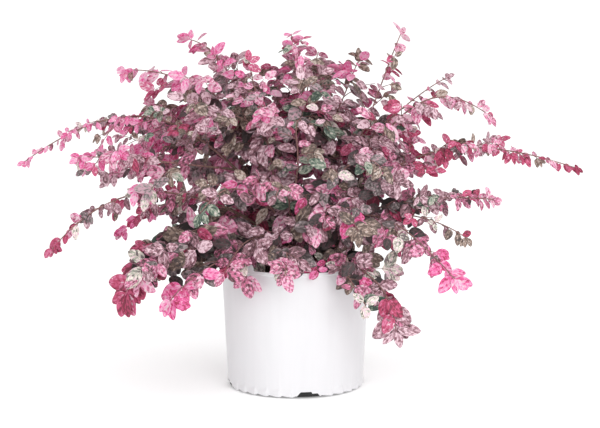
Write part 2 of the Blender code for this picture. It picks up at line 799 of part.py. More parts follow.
    def fuse(self, finish):
        name = "foliage_" + self.shoot.name
        pieces = []
        for points, faces in self.solids:
            pieces.append(add_object(name, mesh_from(name, points, faces)))
        whole = pieces.pop(0)
        whole.name = name
        boolean(whole, pieces, "UNION")
        keep_largest_shell(whole.data)
        whole.data.materials.clear()
        whole.data.materials.append(finish)
        return whole


def make_masses(shoots, limbs):
    space = OwnSpace(shoots)
    finishes = [material(f"leaf_{k}", colour, 0.6) for k, colour in enumerate(LEAF_COLOURS)]
    for number, shoot in enumerate(shoots):
        mass = Mass(shoot, number, space, limbs)
        mass.grow_main()
        mass.grow_side_twigs()
        mass.grow_leaves()
        mass.fuse(finishes[number % len(finishes)])


def main():
    clear_scene()
    pot = make_pot()
    mix = make_mix()
    wood = material("stem_bark", (0.16, 0.09, 0.065), 0.85)
    stem, shoots = make_shoots()
    trunk = make_stem(stem, wood)
    for shoot in shoots:
        if shoot.name not in WITHOUT_BOUGH:
            make_bough(shoot, wood)
    limbs = tree_of([*limb_shapes(shoots), mesh_shape(pot), mesh_shape(mix), mesh_shape(trunk)])
    make_masses(shoots, limbs)


main()
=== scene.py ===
"""Looks of the potted variegated Chinese fringe flower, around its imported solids.

The shrub's twigs and leaves grow here by the same seeded rule as the solids, carried to finer
twigs within the same reach. Units are metres, with +Z up and the front towards -Y.
"""

import json
import math
import random
from collections import namedtuple

import bpy
import numpy as np
from bpy.props import FloatProperty, FloatVectorProperty, IntProperty, PointerProperty
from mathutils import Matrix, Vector, kdtree, noise
from mathutils.bvhtree import BVHTree

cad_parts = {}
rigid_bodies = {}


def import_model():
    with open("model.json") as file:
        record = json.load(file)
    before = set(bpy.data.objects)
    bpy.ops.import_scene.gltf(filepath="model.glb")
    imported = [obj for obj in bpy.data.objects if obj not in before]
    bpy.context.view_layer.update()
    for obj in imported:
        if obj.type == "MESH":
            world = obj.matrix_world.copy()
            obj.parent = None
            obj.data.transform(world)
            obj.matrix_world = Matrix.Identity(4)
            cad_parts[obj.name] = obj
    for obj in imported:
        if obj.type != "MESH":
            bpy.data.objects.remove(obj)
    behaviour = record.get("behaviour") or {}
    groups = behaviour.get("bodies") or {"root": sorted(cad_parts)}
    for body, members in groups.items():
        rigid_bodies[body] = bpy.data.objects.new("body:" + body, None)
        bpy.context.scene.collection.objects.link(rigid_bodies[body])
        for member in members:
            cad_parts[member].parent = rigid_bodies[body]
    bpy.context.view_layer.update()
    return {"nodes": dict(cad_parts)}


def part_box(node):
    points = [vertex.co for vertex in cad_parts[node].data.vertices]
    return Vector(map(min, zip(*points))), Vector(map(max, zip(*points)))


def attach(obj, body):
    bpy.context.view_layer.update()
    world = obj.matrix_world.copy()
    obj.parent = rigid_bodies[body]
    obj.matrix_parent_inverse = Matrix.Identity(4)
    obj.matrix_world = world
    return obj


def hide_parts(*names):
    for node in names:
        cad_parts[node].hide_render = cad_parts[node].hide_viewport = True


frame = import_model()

bl_info = {
    "name": "Potted fringe flower",
    "version": (1, 0, 0),
    "blender": (4, 5, 0),
    "location": "View3D > Sidebar > Fringe flower",
    "description": "Dresses the solids of a potted variegated fringe flower",
    "category": "Object",
}

POT_LOW, POT_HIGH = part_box("pot")
MIX_LOW, MIX_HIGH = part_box("potting_mix")
STEM_LOW, STEM_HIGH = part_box("stem")

# Pot, by the same driving sizes as its solid, with its notches a little wider and higher
TAB_HEIGHT = 0.012
POT_HEIGHT = POT_HIGH.z - TAB_HEIGHT
POT_TOP_RADIUS = 0.1395
POT_FOOT_RADIUS = 0.1256
POT_WALL = 0.0022
POT_FLOOR = 0.003
COLLAR_HEIGHT = 0.007
RIB_COUNT = 32
RIB_HEIGHT = 0.016
RIB_FADE = 0.004
RIB_STEEP_FROM = 0.80
TAB_ANGLE = math.radians(-38)
TAB_WIDTH = 0.024
TAB_ROUNDING = 0.006
NOTCH_ANGLE = math.radians(-79)
NOTCH_FOOT_WIDTH = 0.050
NOTCH_TOP_WIDTH = 0.029
NOTCH_HEIGHT = 0.0125
NOTCH_LEDGE = 0.009
NOTCH_LEDGE_WIDTH = 0.009
NOTCH_REACH_IN = 0.014
QUARTERS = 4
POT_FINE_SIDES = 480
RIM_ROUNDING = 0.0009

# Stem and shoots, by the same driving sizes as the solids
STEM_HEIGHT = 0.066
STEM_FLARE_RADIUS = 0.018
STEM_RADIUS = 0.0085
STEM_TIP_RADIUS = 0.0052
STEM_FLARE_FADE = 0.011
STEM_LEAN = Vector((0.004, 0.003, 0.0))
BOUGH_ROOT_RADIUS = 0.0014
BOUGH_RADIUS_GAIN = 0.0018
SHOOT_TIP_RADIUS = 0.0009
FORK_ANGLE = math.radians(38)
FORK_SINK = 0.75
CHILD_THICKNESS = 0.85
RISE_PULL = 0.55
TIP_PULL = 0.62
WANDER = 0.012
WANDER_RISE = 4
TANGENT_STEP = 0.002
NEAR_UPRIGHT = 0.95
SEED = 41
SEED_STRIDE = 1000
CROWN_CENTRE = Vector((0.0, 0.0, 0.36))
CROWN_INNER = 0.17
CROWN_OUTER = 0.40
OWN_SPACE_STEP = 0.012

Row = namedtuple(
    "Row", "name parent fork azimuth reach height crest_share crest_height leafy spread"
    " pink tips flush small sparse seed"
)

# One row a shoot: its path, as in the solids, and then its looks: how wide its side twigs
# spread over the usual, how often its young leaves are tinted, their tint, the share of it
# where more of them stand (or -1), the size of its leaves over the usual, their spacing
# over the usual, and the seed of its twigs and leaves.
SHOOTS = (
    Row("left_long", "stem", 0.82, -178, 0.509, 0.415, 0.25, 0.711, 0.30, 0.85,
        0.67, "young", 0.4, 0.72, 0.82, 790),
    Row("left_mid", "left_long", 0.26, -160, 0.417, 0.449, 0.85, 0.460, 0.14, 1.21,
        0.98, "young", -1.0, 1.06, 1.02, 127),
    Row("left_low", "stem", 0.50, -164, 0.463, 0.273, 0.60, 0.520, 0.28, 0.45,
        0.6, "red", 0.12, 0.88, 1.1, 532),
    Row("left_hang", "left_low", 0.22, -151, 0.351, 0.202, 0.80, 0.330, 0.14, 0.84,
        0.43, "red", -1, 1.19, 0.68, 376),
    Row("left_drop", "stem", 0.22, -139, 0.303, 0.194, 0.45, 0.335, 0.22, 0.93,
        0.8, "young", -1.0, 1.04, 1.43, 147),
    Row("upper_left", "left_long", 0.14, 171, 0.326, 0.584, 0.05, 0.600, 0.14, 1.17,
        0.8, "young", -1.0, 1.25, 1.12, 707),
    Row("top_left", "stem", 0.97, 165, 0.210, 0.642, 0.05, 0.610, 0.22, 1.05,
        0.69, "young", 0.62, 1.16, 0.8, 930),
    Row("top_front", "stem", 0.88, -131, 0.13, 0.622, 0.55, 0.480, 0.20, 1.3,
        0.51, "young", -1.0, 1.01, 0.6, 971),
    Row("top_centre", "stem", 1.00, 114, 0.020, 0.657, -0.40, 0.600, 0.20, 1.4,
        0.83, "young", 0.93, 1.05, 0.6, 877),
    Row("top_right", "stem", 0.92, 6, 0.197, 0.660, 0.65, 0.500, 0.26, 0.87,
        0.73, "red", 0.11, 1.07, 1.35, 478),
    Row("crown_right", "top_right", 0.20, 33, 0.147, 0.608, 0.60, 0.560, 0.14, 1.4,
        0.88, "young", -1.0, 1.2, 0.77, 156),
    Row("right_upper", "right_droop", 0.20, 16, 0.297, 0.567, 0.40, 0.517, 0.20, 0.93,
        0.51, "red", 0.41, 0.9, 1.24, 313),
    Row("right_droop", "stem", 0.78, -5, 0.365, 0.504, 0.30, 0.700, 0.28, 0.75,
        0.6, "red", 0.75, 0.98, 0.9, 876),
    Row("right_long", "stem", 0.62, 2, 0.534, 0.4, 0.1, 0.58, 0.38, 0.67,
        1.0, "red", 0.22, 0.83, 0.88, 375),
    Row("right_mid", "right_low", 0.24, -12, 0.374, 0.362, 0.40, 0.380, 0.22, 0.59,
        0.36, "red", 0.24, 0.97, 0.7, 520),
    Row("right_side", "right_low", 0.16, -25, 0.345, 0.300, 0.50, 0.400, 0.22, 0.6,
        0.29, "red", -1, 0.73, 1.12, 247),
    Row("right_low", "stem", 0.46, -33, 0.348, 0.230, 0.25, 0.480, 0.28, 0.68,
        0.8, "young", 0.72, 1.0, 1.0, 195),
    Row("right_hang", "stem", 0.30, -48, 0.271, 0.140, 0.85, 0.321, 0.24, 0.64,
        0.3, "red", -1.0, 1.1, 1.01, 395),
    Row("front_drop", "stem", 0.37, -60, 0.254, 0.191, 0.65, 0.290, 0.22, 0.53,
        0.73, "young", 0.46, 0.75, 1.5, 459),
    Row("front_centre", "stem", 0.28, -95, 0.221, 0.247, 0.50, 0.340, 0.20, 0.89,
        0.41, "young", 0.45, 0.92, 0.91, 855),
    Row("front_left", "stem", 0.38, -127, 0.215, 0.240, 0.50, 0.370, 0.20, 0.96,
        0.43, "red", -1, 1.2, 1.18, 718),
    Row("front_mid_left", "stem", 0.72, -131, 0.262, 0.355, 0.50, 0.480, 0.20, 1.05,
        0.46, "young", 0.88, 1.2, 1.26, 826),
    Row("front_mid", "stem", 0.58, -100, 0.203, 0.385, 0.45, 0.480, 0.18, 0.94,
        0.76, "young", 0.79, 1.05, 1.19, 469),
    Row("front_mid_right", "stem", 0.66, -60, 0.225, 0.325, 0.45, 0.440, 0.20, 1.2,
        0.8, "young", 0.92, 1.25, 0.72, 313),
    Row("front_right", "stem", 0.86, -43, 0.220, 0.425, 0.45, 0.520, 0.18, 1.4,
        0.35, "young", -1, 1.25, 0.7, 504),
    Row("front_top", "stem", 0.95, -86, 0.140, 0.515, 0.40, 0.560, 0.22, 1.03,
        0.57, "young", -1.0, 1.0, 1.3, 976),
    Row("back_right", "stem", 0.70, 55, 0.400, 0.420, 0.48, 0.58, 0.24, 0.7,
        0.18, "red", -1.0, 1.19, 0.84, 606),
    Row("back_right_low", "stem", 0.42, 66, 0.330, 0.240, 0.58, 0.46, 0.24, 1.29,
        0.5, "young", -1, 1.13, 0.92, 772),
    Row("back_mid", "stem", 0.74, 90, 0.400, 0.430, 0.45, 0.58, 0.24, 1.4,
        0.66, "young", 0.69, 1.04, 1.4, 855),
    Row("back_top", "stem", 0.88, 78, 0.210, 0.600, 0.40, 0.58, 0.22, 1.4,
        0.1, "young", -1.0, 1.16, 0.89, 732),
    Row("back_low", "stem", 0.36, 105, 0.300, 0.215, 0.58, 0.42, 0.20, 1.34,
        1.0, "red", -1.0, 1.05, 0.84, 931),
    Row("back_left", "stem", 0.64, 138, 0.430, 0.380, 0.48, 0.58, 0.24, 1.32,
        0.9, "young", -1, 1.24, 1.29, 598),
    Row("back_left_low", "stem", 0.40, 158, 0.360, 0.260, 0.55, 0.44, 0.24, 0.78,
        0.82, "young", -1, 0.83, 1.03, 669),
)

WITHOUT_BOUGH = ("top_centre", "top_front", "front_centre", "front_left", "front_mid",
                 "front_right", "crown_right", "right_side", "back_low")

# Pieces of leaves, each with the shoots whose masses it replaces
LEAF_PIECES = {
    "leaves_left": ("left_long", "left_mid", "left_low", "left_hang", "left_drop"),
    "leaves_top": ("upper_left", "top_left", "top_front", "top_centre", "top_right",
                   "crown_right"),
    "leaves_right": ("right_upper", "right_droop", "right_long", "right_mid", "right_side",
                     "right_low", "right_hang"),
    "leaves_front": ("front_drop", "front_centre", "front_left", "front_mid_left", "front_mid",
                     "front_mid_right", "front_right", "front_top"),
    "leaves_back_right": ("back_right", "back_right_low", "back_mid", "back_top"),
    "leaves_back_left": ("back_low", "back_left", "back_left_low"),
}

# Finer shapes than the solids': the pot's section, the mix and the bark's relief
COLLAR_STEP = 0.0014
RIB_DEPTH = 0.0021
RIB_LOWEST_TOP = 0.45
RIB_FADE_STRETCH = 1.5
FOOT_LIFT = 0.0024
SCALLOP = 0.0022
FOOT_ZONE = 0.021
FOOT_RINGS = (0.02, 0.10, 0.22, 0.35, 0.48, 0.60, 0.72, 0.85)
WALL_RINGS = (0.0, 0.25, 0.5, 0.75, 1.0)
RIM_STEPS = 3
RIB_CLEAR = 0.006
MIX_RINGS = 46
MIX_FINE_SIDES = 150
MIX_CLEAR = 0.0006
MIX_LUMP = 0.0045
MIX_LUMPS_A_METRE = 55
MIX_GRAIN = 0.0030
MIX_GRAINS_A_METRE = 160
MIX_EDGE_RINGS = 3
CHIP_COUNT = 1500
CHIP_LENGTHS = (0.003, 0.009)
CHIP_WIDTHS = (0.0012, 0.0030)
CHIP_DEPTHS = (0.0005, 0.0012)
CHIP_RISE = (0.0, 0.0035)
CHIP_TILT = 0.4
CHIP_ENDS = (0.7, 1.0)
CHIP_EDGES = (0.6, 1.0)
STEM_FINE_SIDES = 28
STEM_FINE_RINGS = 30
STEM_CROWDING = 1.4
STEM_RELIEF = 0.10
STEM_GRAIN = 190
BOUGH_FINE_SPAN = 0.006
BOUGH_RELIEF = 0.10
BOUGH_GRAIN = 420
JOINT_SWELL = 0.10
JOINT_EVERY = 4

# Side twigs leave a shoot between two shares of its leafy part, and shorten towards its tip
TWIG_FROM = 0.02
TWIG_TO = 0.84
TWIG_PLACE = (0.2, 0.8)
TWIG_REACH = 0.62
TWIG_NARROWING = 1.3
TWIG_LONGEST = 0.15
TWIG_LENGTHS = (0.6, 1.15)
TWIG_FORWARD = 0.65
TWIG_TURN = (0.55, 0.95)
TWIG_LIFT_INSIDE = (-0.45, 0.9)
TWIG_LIFT_AT_TIP = (-0.6, 0.45)
TWIG_JITTER = 0.2
TWIG_TRIES = 5
TWIG_SHRINK_STEP = 0.12
TWIG_SLACK = 0.022
TWIG_DROOP = 0.20
TWIG_BEND = 0.05
TWIG_ZIGZAG = 0.0011
TWIG_SPAN = 0.010
MAIN_TWIG_SPAN = 0.012
MAIN_TWIG_END = 0.985
TWIG_RADII = {1: 0.0010, 2: 0.0007, 3: 0.0006}
TWIG_TIP_RADIUS = 0.00045
TWIG_SIDES = 5
FORK_AGAIN_OVER = 0.05
FORK_SPACING = 0.026
FORK_SHARES = (0.28, 0.50)
FORK_SHRINK = (1.1, 0.6)

# Leaves stand by turns along a twig, small near a shoot's tip and full grown further in
FIRST_LEAF = 0.008
SPACING_SPREAD = (0.8, 1.2)
LEAF_LENGTHS = (0.76, 1.2)
GROWN_AFTER = 0.20
TIP_LEAF_HEIGHTS = (0.20, 0.36)
FAR_YOUNGER = 0.8
TWIG_AGE = 0.45
LAST_LEAF_STRETCH = 0.030
LAST_LEAF_SHARE = 0.85
TIP_PAIR = 0.004
TUFT_STRETCH = 0.035
TUFT_CROWDING = 0.55
LEAF_TRIES = 4
LEAF_SLACK = 0.030
LEAF_FORWARD = (0.15, 0.80)
LEAF_ACROSS = 0.65
LEAF_RISE = (-1.0, 0.40)
LEAF_JITTER = 0.3
LOOK_OUT = 0.55
LOOK_FRONT = (0.85, 0.38)
LOOK_UP = (0.25, 1.05)
LOOK_UP_LESS_OUT = 0.8
LOOK_HEIGHTS = (0.28, 0.58)
LOOK_JITTER = 0.42
BACK_BEGINS = 0.03
BACK_BLUR = 0.08
LEAF_FLATTEN = (0.65, 1.0)
EDGE_ON = 0.2

# Leaf blades: a short stalk, a blunt oval blade folded along its midrib and curved back
STALK = 0.07
STALK_HALF_WIDTH = 0.035
WIDE_STALK_TO = 0.5
WIDEST_BEFORE_MIDDLE = 0.86
BLUNTNESS = 0.57
TAPER = 0.10
MIDRIB = 0.055
LEAF_WIDTHS = (0.88, 1.12)
LEAF_FOLD = (0.05, 0.28)
LEAF_CURL = (0.02, 0.20)
LEAF_WAVE = (0.0, 0.020)
WAVE_ALONG = 7
WAVE_ACROSS = 2
LEAF_CUTS = ((0.022, 5, 4), (0.032, 7, 6), (1.0, 10, 8))
HIDDEN_CUT = (5, 4)
LEAF_SHAPES = 4
SHAKE = 0.34
ROWS_FORWARD = 0.7

# Marbling: how far a leaf's faces stray from its own paleness, in steps of its shades
MARBLINGS = 10
RIM_FROM = 0.6
VEINS = 8
VEIN_SLANT = 0.22
VEIN_SHARE = 0.60
GRAIN_SHARE = 0.52
PATCH_SHARE = 1.05
PATCH_WAVES = (3.5, 9.0)
MIDRIB_PALER = 0.9
# How far others hide a leaf, which sets its painted shade
COVER_REACH = 0.045
COVER_AHEAD = 0.010
COVER_COUNT = 16


def at_azimuth(angle, radius, height):
    return Vector((radius * math.cos(angle), radius * math.sin(angle), height))


def between(low, high, share):
    return low + (high - low) * share


def held(value, low=0.0, high=1.0):
    return min(max(value, low), high)


def risen(place):
    """0 low on the crown, 1 high on it."""
    low, high = LOOK_HEIGHTS
    return held((place.z - low) / (high - low))


def outness(place):
    """0 in the middle of the crown, 1 out on the long shoots."""
    return held(((place - CROWN_CENTRE).length - CROWN_INNER) / (CROWN_OUTER - CROWN_INNER))


class Wire:
    """A shader value whose operators add Math nodes."""

    def __init__(self, finish, socket):
        self.finish = finish
        self.socket = socket

    def __add__(self, other):
        return self.finish.math("ADD", self, other)

    def __radd__(self, other):
        return self.finish.math("ADD", other, self)

    def __sub__(self, other):
        return self.finish.math("SUBTRACT", self, other)

    def __rsub__(self, other):
        return self.finish.math("SUBTRACT", other, self)

    def __mul__(self, other):
        return self.finish.math("MULTIPLY", self, other)

    def __rmul__(self, other):
        return self.finish.math("MULTIPLY", other, self)


class Finish:
    """One procedural material and its nodes."""

    def __init__(self, name, colour, roughness):
        self.material = bpy.data.materials.new(name)
        self.material.use_nodes = True
        self.tree = self.material.node_tree
        self.shader = self.tree.nodes["Principled BSDF"]
        self.set("Base Color", colour)
        self.set("Roughness", roughness)

    def node(self, kind, settings=None, output=0, **inputs):
        """Any node: its settings first, then the values or links of its sockets.

        A socket is named by its words joined with underscores, or as i and its number.
        """
        made = self.tree.nodes.new(kind)
        for name, value in (settings or {}).items():
            setattr(made, name, value)
        for name, value in inputs.items():
            numbered = name[0] == "i" and name[1:].isdigit()
            self.feed(made.inputs[int(name[1:]) if numbered else name.replace("_", " ")], value)
        return Wire(self, made.outputs[output])

    def feed(self, socket, value):
        if isinstance(value, Wire):
            self.tree.links.new(value.socket, socket)
        elif socket.type == "RGBA":
            socket.default_value = (*value, 1.0)
        else:
            socket.default_value = value

    def math(self, operation, *values):
        inputs = {f"i{k}": value for k, value in enumerate(values)}
        return self.node("ShaderNodeMath", {"operation": operation}, **inputs)

    def blend(self, share, first, second):
        """A colour between two, by a share."""
        return self.node("ShaderNodeMix", {"data_type": "RGBA"}, output=2,
                         i0=share, i6=first, i7=second)

    def place(self):
        return self.node("ShaderNodeTexCoord", output=3)

    def stretched(self, *scales):
        """The place with its axes scaled, so that a pattern runs long one way."""
        return self.node("ShaderNodeVectorMath", {"operation": "MULTIPLY"},
                         i0=self.place(), i1=scales)

    def noise(self, scale, detail=3.0, roughness=0.5, where=None):
        return self.node("ShaderNodeTexNoise", Vector=where or self.place(), Scale=scale,
                         Detail=detail, Roughness=roughness)

    def spread(self, value, low, high, to_low=0.0, to_high=1.0):
        """Maps a range to another, held at both ends."""
        return self.node("ShaderNodeMapRange", {"clamp": True}, i0=value, i1=low, i2=high,
                         i3=to_low, i4=to_high)

    def set(self, name, value):
        self.feed(self.shader.inputs[name], value)

    def bump(self, height, strength, distance):
        self.set("Normal", self.node("ShaderNodeBump", Height=height, Strength=strength,
                                     Distance=distance))


def lighter(colour, times, more=0.0):
    return tuple(min(1.0, part * times + more) for part in colour)


def add_object(name, mesh):
    made = bpy.data.objects.new(name, mesh)
    bpy.context.scene.collection.objects.link(made)
    return made


class MeshHeap:
    """Gathers points, faces and their material numbers for one joined piece."""

    def __init__(self):
        self.points = []
        self.faces = []
        self.slots = []
        self.count = 0

    def add(self, points, faces, slots=0):
        """Adds faces, all of one material number or each of its own."""
        self.points.append(np.array(points, float))
        self.faces.extend(tuple(corner + self.count for corner in face) for face in faces)
        self.slots.extend([slots] * len(faces) if isinstance(slots, int) else slots)
        self.count += len(points)

    def piece(self, name, finishes, sharp_from=None):
        mesh = bpy.data.meshes.new(name)
        mesh.from_pydata(np.concatenate(self.points).tolist(), [], self.faces)
        for finish in finishes:
            mesh.materials.append(finish.material)
        mesh.polygons.foreach_set("material_index", self.slots)
        mesh.shade_smooth()
        if sharp_from:
            mesh.set_sharp_from_angle(angle=math.radians(sharp_from))
        return add_object(name, mesh)


def ring_faces(low, high, sides, flip=False):
    """Faces between two rings of corners, given by the numbers of their first corners."""
    faces = []
    for side in range(sides):
        after = (side + 1) % sides
        face = (low + side, low + after, high + after, high + side)
        faces.append(face[::-1] if flip else face)
    return faces


def frame_along(points):
    """A tangent and two sideways directions at each point, carried along without twisting."""
    frames = []
    side = None
    for index in range(len(points)):
        before = points[max(index - 1, 0)]
        after = points[min(index + 1, len(points) - 1)]
        tangent = (after - before).normalized()
        if side is None:
            helper = Vector((0, 0, 1)) if abs(tangent.z) < NEAR_UPRIGHT else Vector((1, 0, 0))
            side = tangent.cross(helper)
        side = (side - tangent * side.dot(tangent)).normalized()
        frames.append((tangent, side, side.cross(tangent)))
    return frames


def tube(points, radii, sides, relief=0.0, grain=0.0):
    """(points, faces) of a limb, whose surface may carry a relief of a given grain."""
    corners = []
    for point, radius, (_, side, up) in zip(points, radii, frame_along(points)):
        for k in range(sides):
            angle = 2 * math.pi * k / sides - math.pi / 2
            out = side * math.cos(angle) + up * math.sin(angle)
            swell = 1.0
            if relief:
                swell += relief * noise.noise((point + out * radius) * grain)
            corners.append(point + out * radius * swell)
    faces = [tuple(range(sides)), tuple(range(len(corners) - 1, len(corners) - sides - 1, -1))]
    for ring in range(len(points) - 1):
        faces.extend(ring_faces(ring * sides, (ring + 1) * sides, sides, flip=True))
    return corners, faces


class Stem:
    """The short stem: it leans a little and narrows from its flared foot to its tip."""

    def point(self, share):
        return Vector((0, 0, STEM_LOW.z + STEM_HEIGHT * share)) + STEM_LEAN * share

    def tangent(self, share):
        return (self.point(1) - self.point(0)).normalized()

    def radius(self, share):
        taper = between(STEM_RADIUS, STEM_TIP_RADIUS, share)
        flare = STEM_FLARE_RADIUS - STEM_RADIUS
        return taper + flare * math.exp(-share * STEM_HEIGHT / STEM_FLARE_FADE)


class Shoot:
    """One arching limb from its fork to its tip, as a cubic curve with a slight wander."""

    def __init__(self, row, parent, number):
        self.row = row
        self.name = row.name
        self.number = number
        self.bough_end = 0.0 if row.name in WITHOUT_BOUGH else row.leafy
        azimuth = math.radians(row.azimuth)
        self.tip = at_azimuth(azimuth, row.reach, row.height)
        self.phase = random.Random(SEED * SEED_STRIDE + number).uniform(0, 2 * math.pi)
        fork = parent.point(row.fork)
        along = parent.tangent(row.fork)
        crest = fork + (self.tip - fork) * row.crest_share
        crest.z = row.crest_height
        aim = (crest - fork).normalized()
        sideways = (aim - along * aim.dot(along)).normalized()
        length = (crest - fork).length + (self.tip - crest).length
        thickest = BOUGH_ROOT_RADIUS + BOUGH_RADIUS_GAIN * length
        self.root_radius = min(thickest, CHILD_THICKNESS * parent.radius(row.fork))
        if row.fork == 1.0:
            aim = along
            start = fork
        else:
            angle = max(aim.angle(along), FORK_ANGLE)
            aim = along * math.cos(angle) + sideways * math.sin(angle)
            start = fork + sideways * (parent.radius(row.fork) * FORK_SINK)
        self.controls = (
            start,
            start + aim * (crest - start).length * RISE_PULL,
            self.tip + (crest - self.tip) * TIP_PULL,
            self.tip,
        )
        level = Vector((-math.sin(azimuth), math.cos(azimuth), 0))
        self.sway = level * WANDER * length

    def point(self, share):
        rest = 1 - share
        weights = (rest**3, 3 * rest * rest * share, 3 * rest * share * share, share**3)
        place = Vector((0, 0, 0))
        for weight, control in zip(weights, self.controls):
            place = place + control * weight
        swing = math.sin(math.pi * share) * math.sin(3 * math.pi * share + self.phase)
        return place + self.sway * swing * min(1.0, WANDER_RISE * share)

    def tangent(self, share):
        ahead = self.point(min(share + TANGENT_STEP, 1.0))
        return (ahead - self.point(max(share - TANGENT_STEP, 0.0))).normalized()

    def radius(self, share):
        return between(self.root_radius, SHOOT_TIP_RADIUS, share)

    def stretch(self, first, last, span):
        """(points, radii) between two shares, about a span apart."""
        count = max(2, round((self.point(last) - self.point(first)).length / span) + 1)
        shares = [between(first, last, k / count) for k in range(count + 1)]
        return [self.point(s) for s in shares], [self.radius(s) for s in shares]


def make_shoots():
    """The stem and all shoots, each grown from its parent."""
    limbs = {"stem": Stem()}
    waiting = list(enumerate(SHOOTS))
    while waiting:
        number, row = waiting.pop(0)
        if row.parent in limbs:
            limbs[row.name] = Shoot(row, limbs[row.parent], number)
        else:
            waiting.append((number, row))
    return limbs.pop("stem"), [limbs[row.name] for row in SHOOTS]


class OwnSpace:
    """Shares the air among the masses: a point belongs to the nearest main twig."""

    def __init__(self, shoots):
        points = []
        owners = []
        for shoot in shoots:
            for point in shoot.stretch(shoot.bough_end, 1.0, OWN_SPACE_STEP)[0]:
                points.append(point)
                owners.append(shoot.number)
        self.points = np.array(points)
        self.owners = np.array(owners)

    def holds(self, number, place, slack):
        away = self.points - np.array(place)
        distance = np.sqrt((away**2).sum(axis=1))
        own = distance[self.owners == number].min()
        return bool(own - slack < distance[self.owners != number].min())


Leaf = namedtuple("Leaf", "root axis sideways length tint")


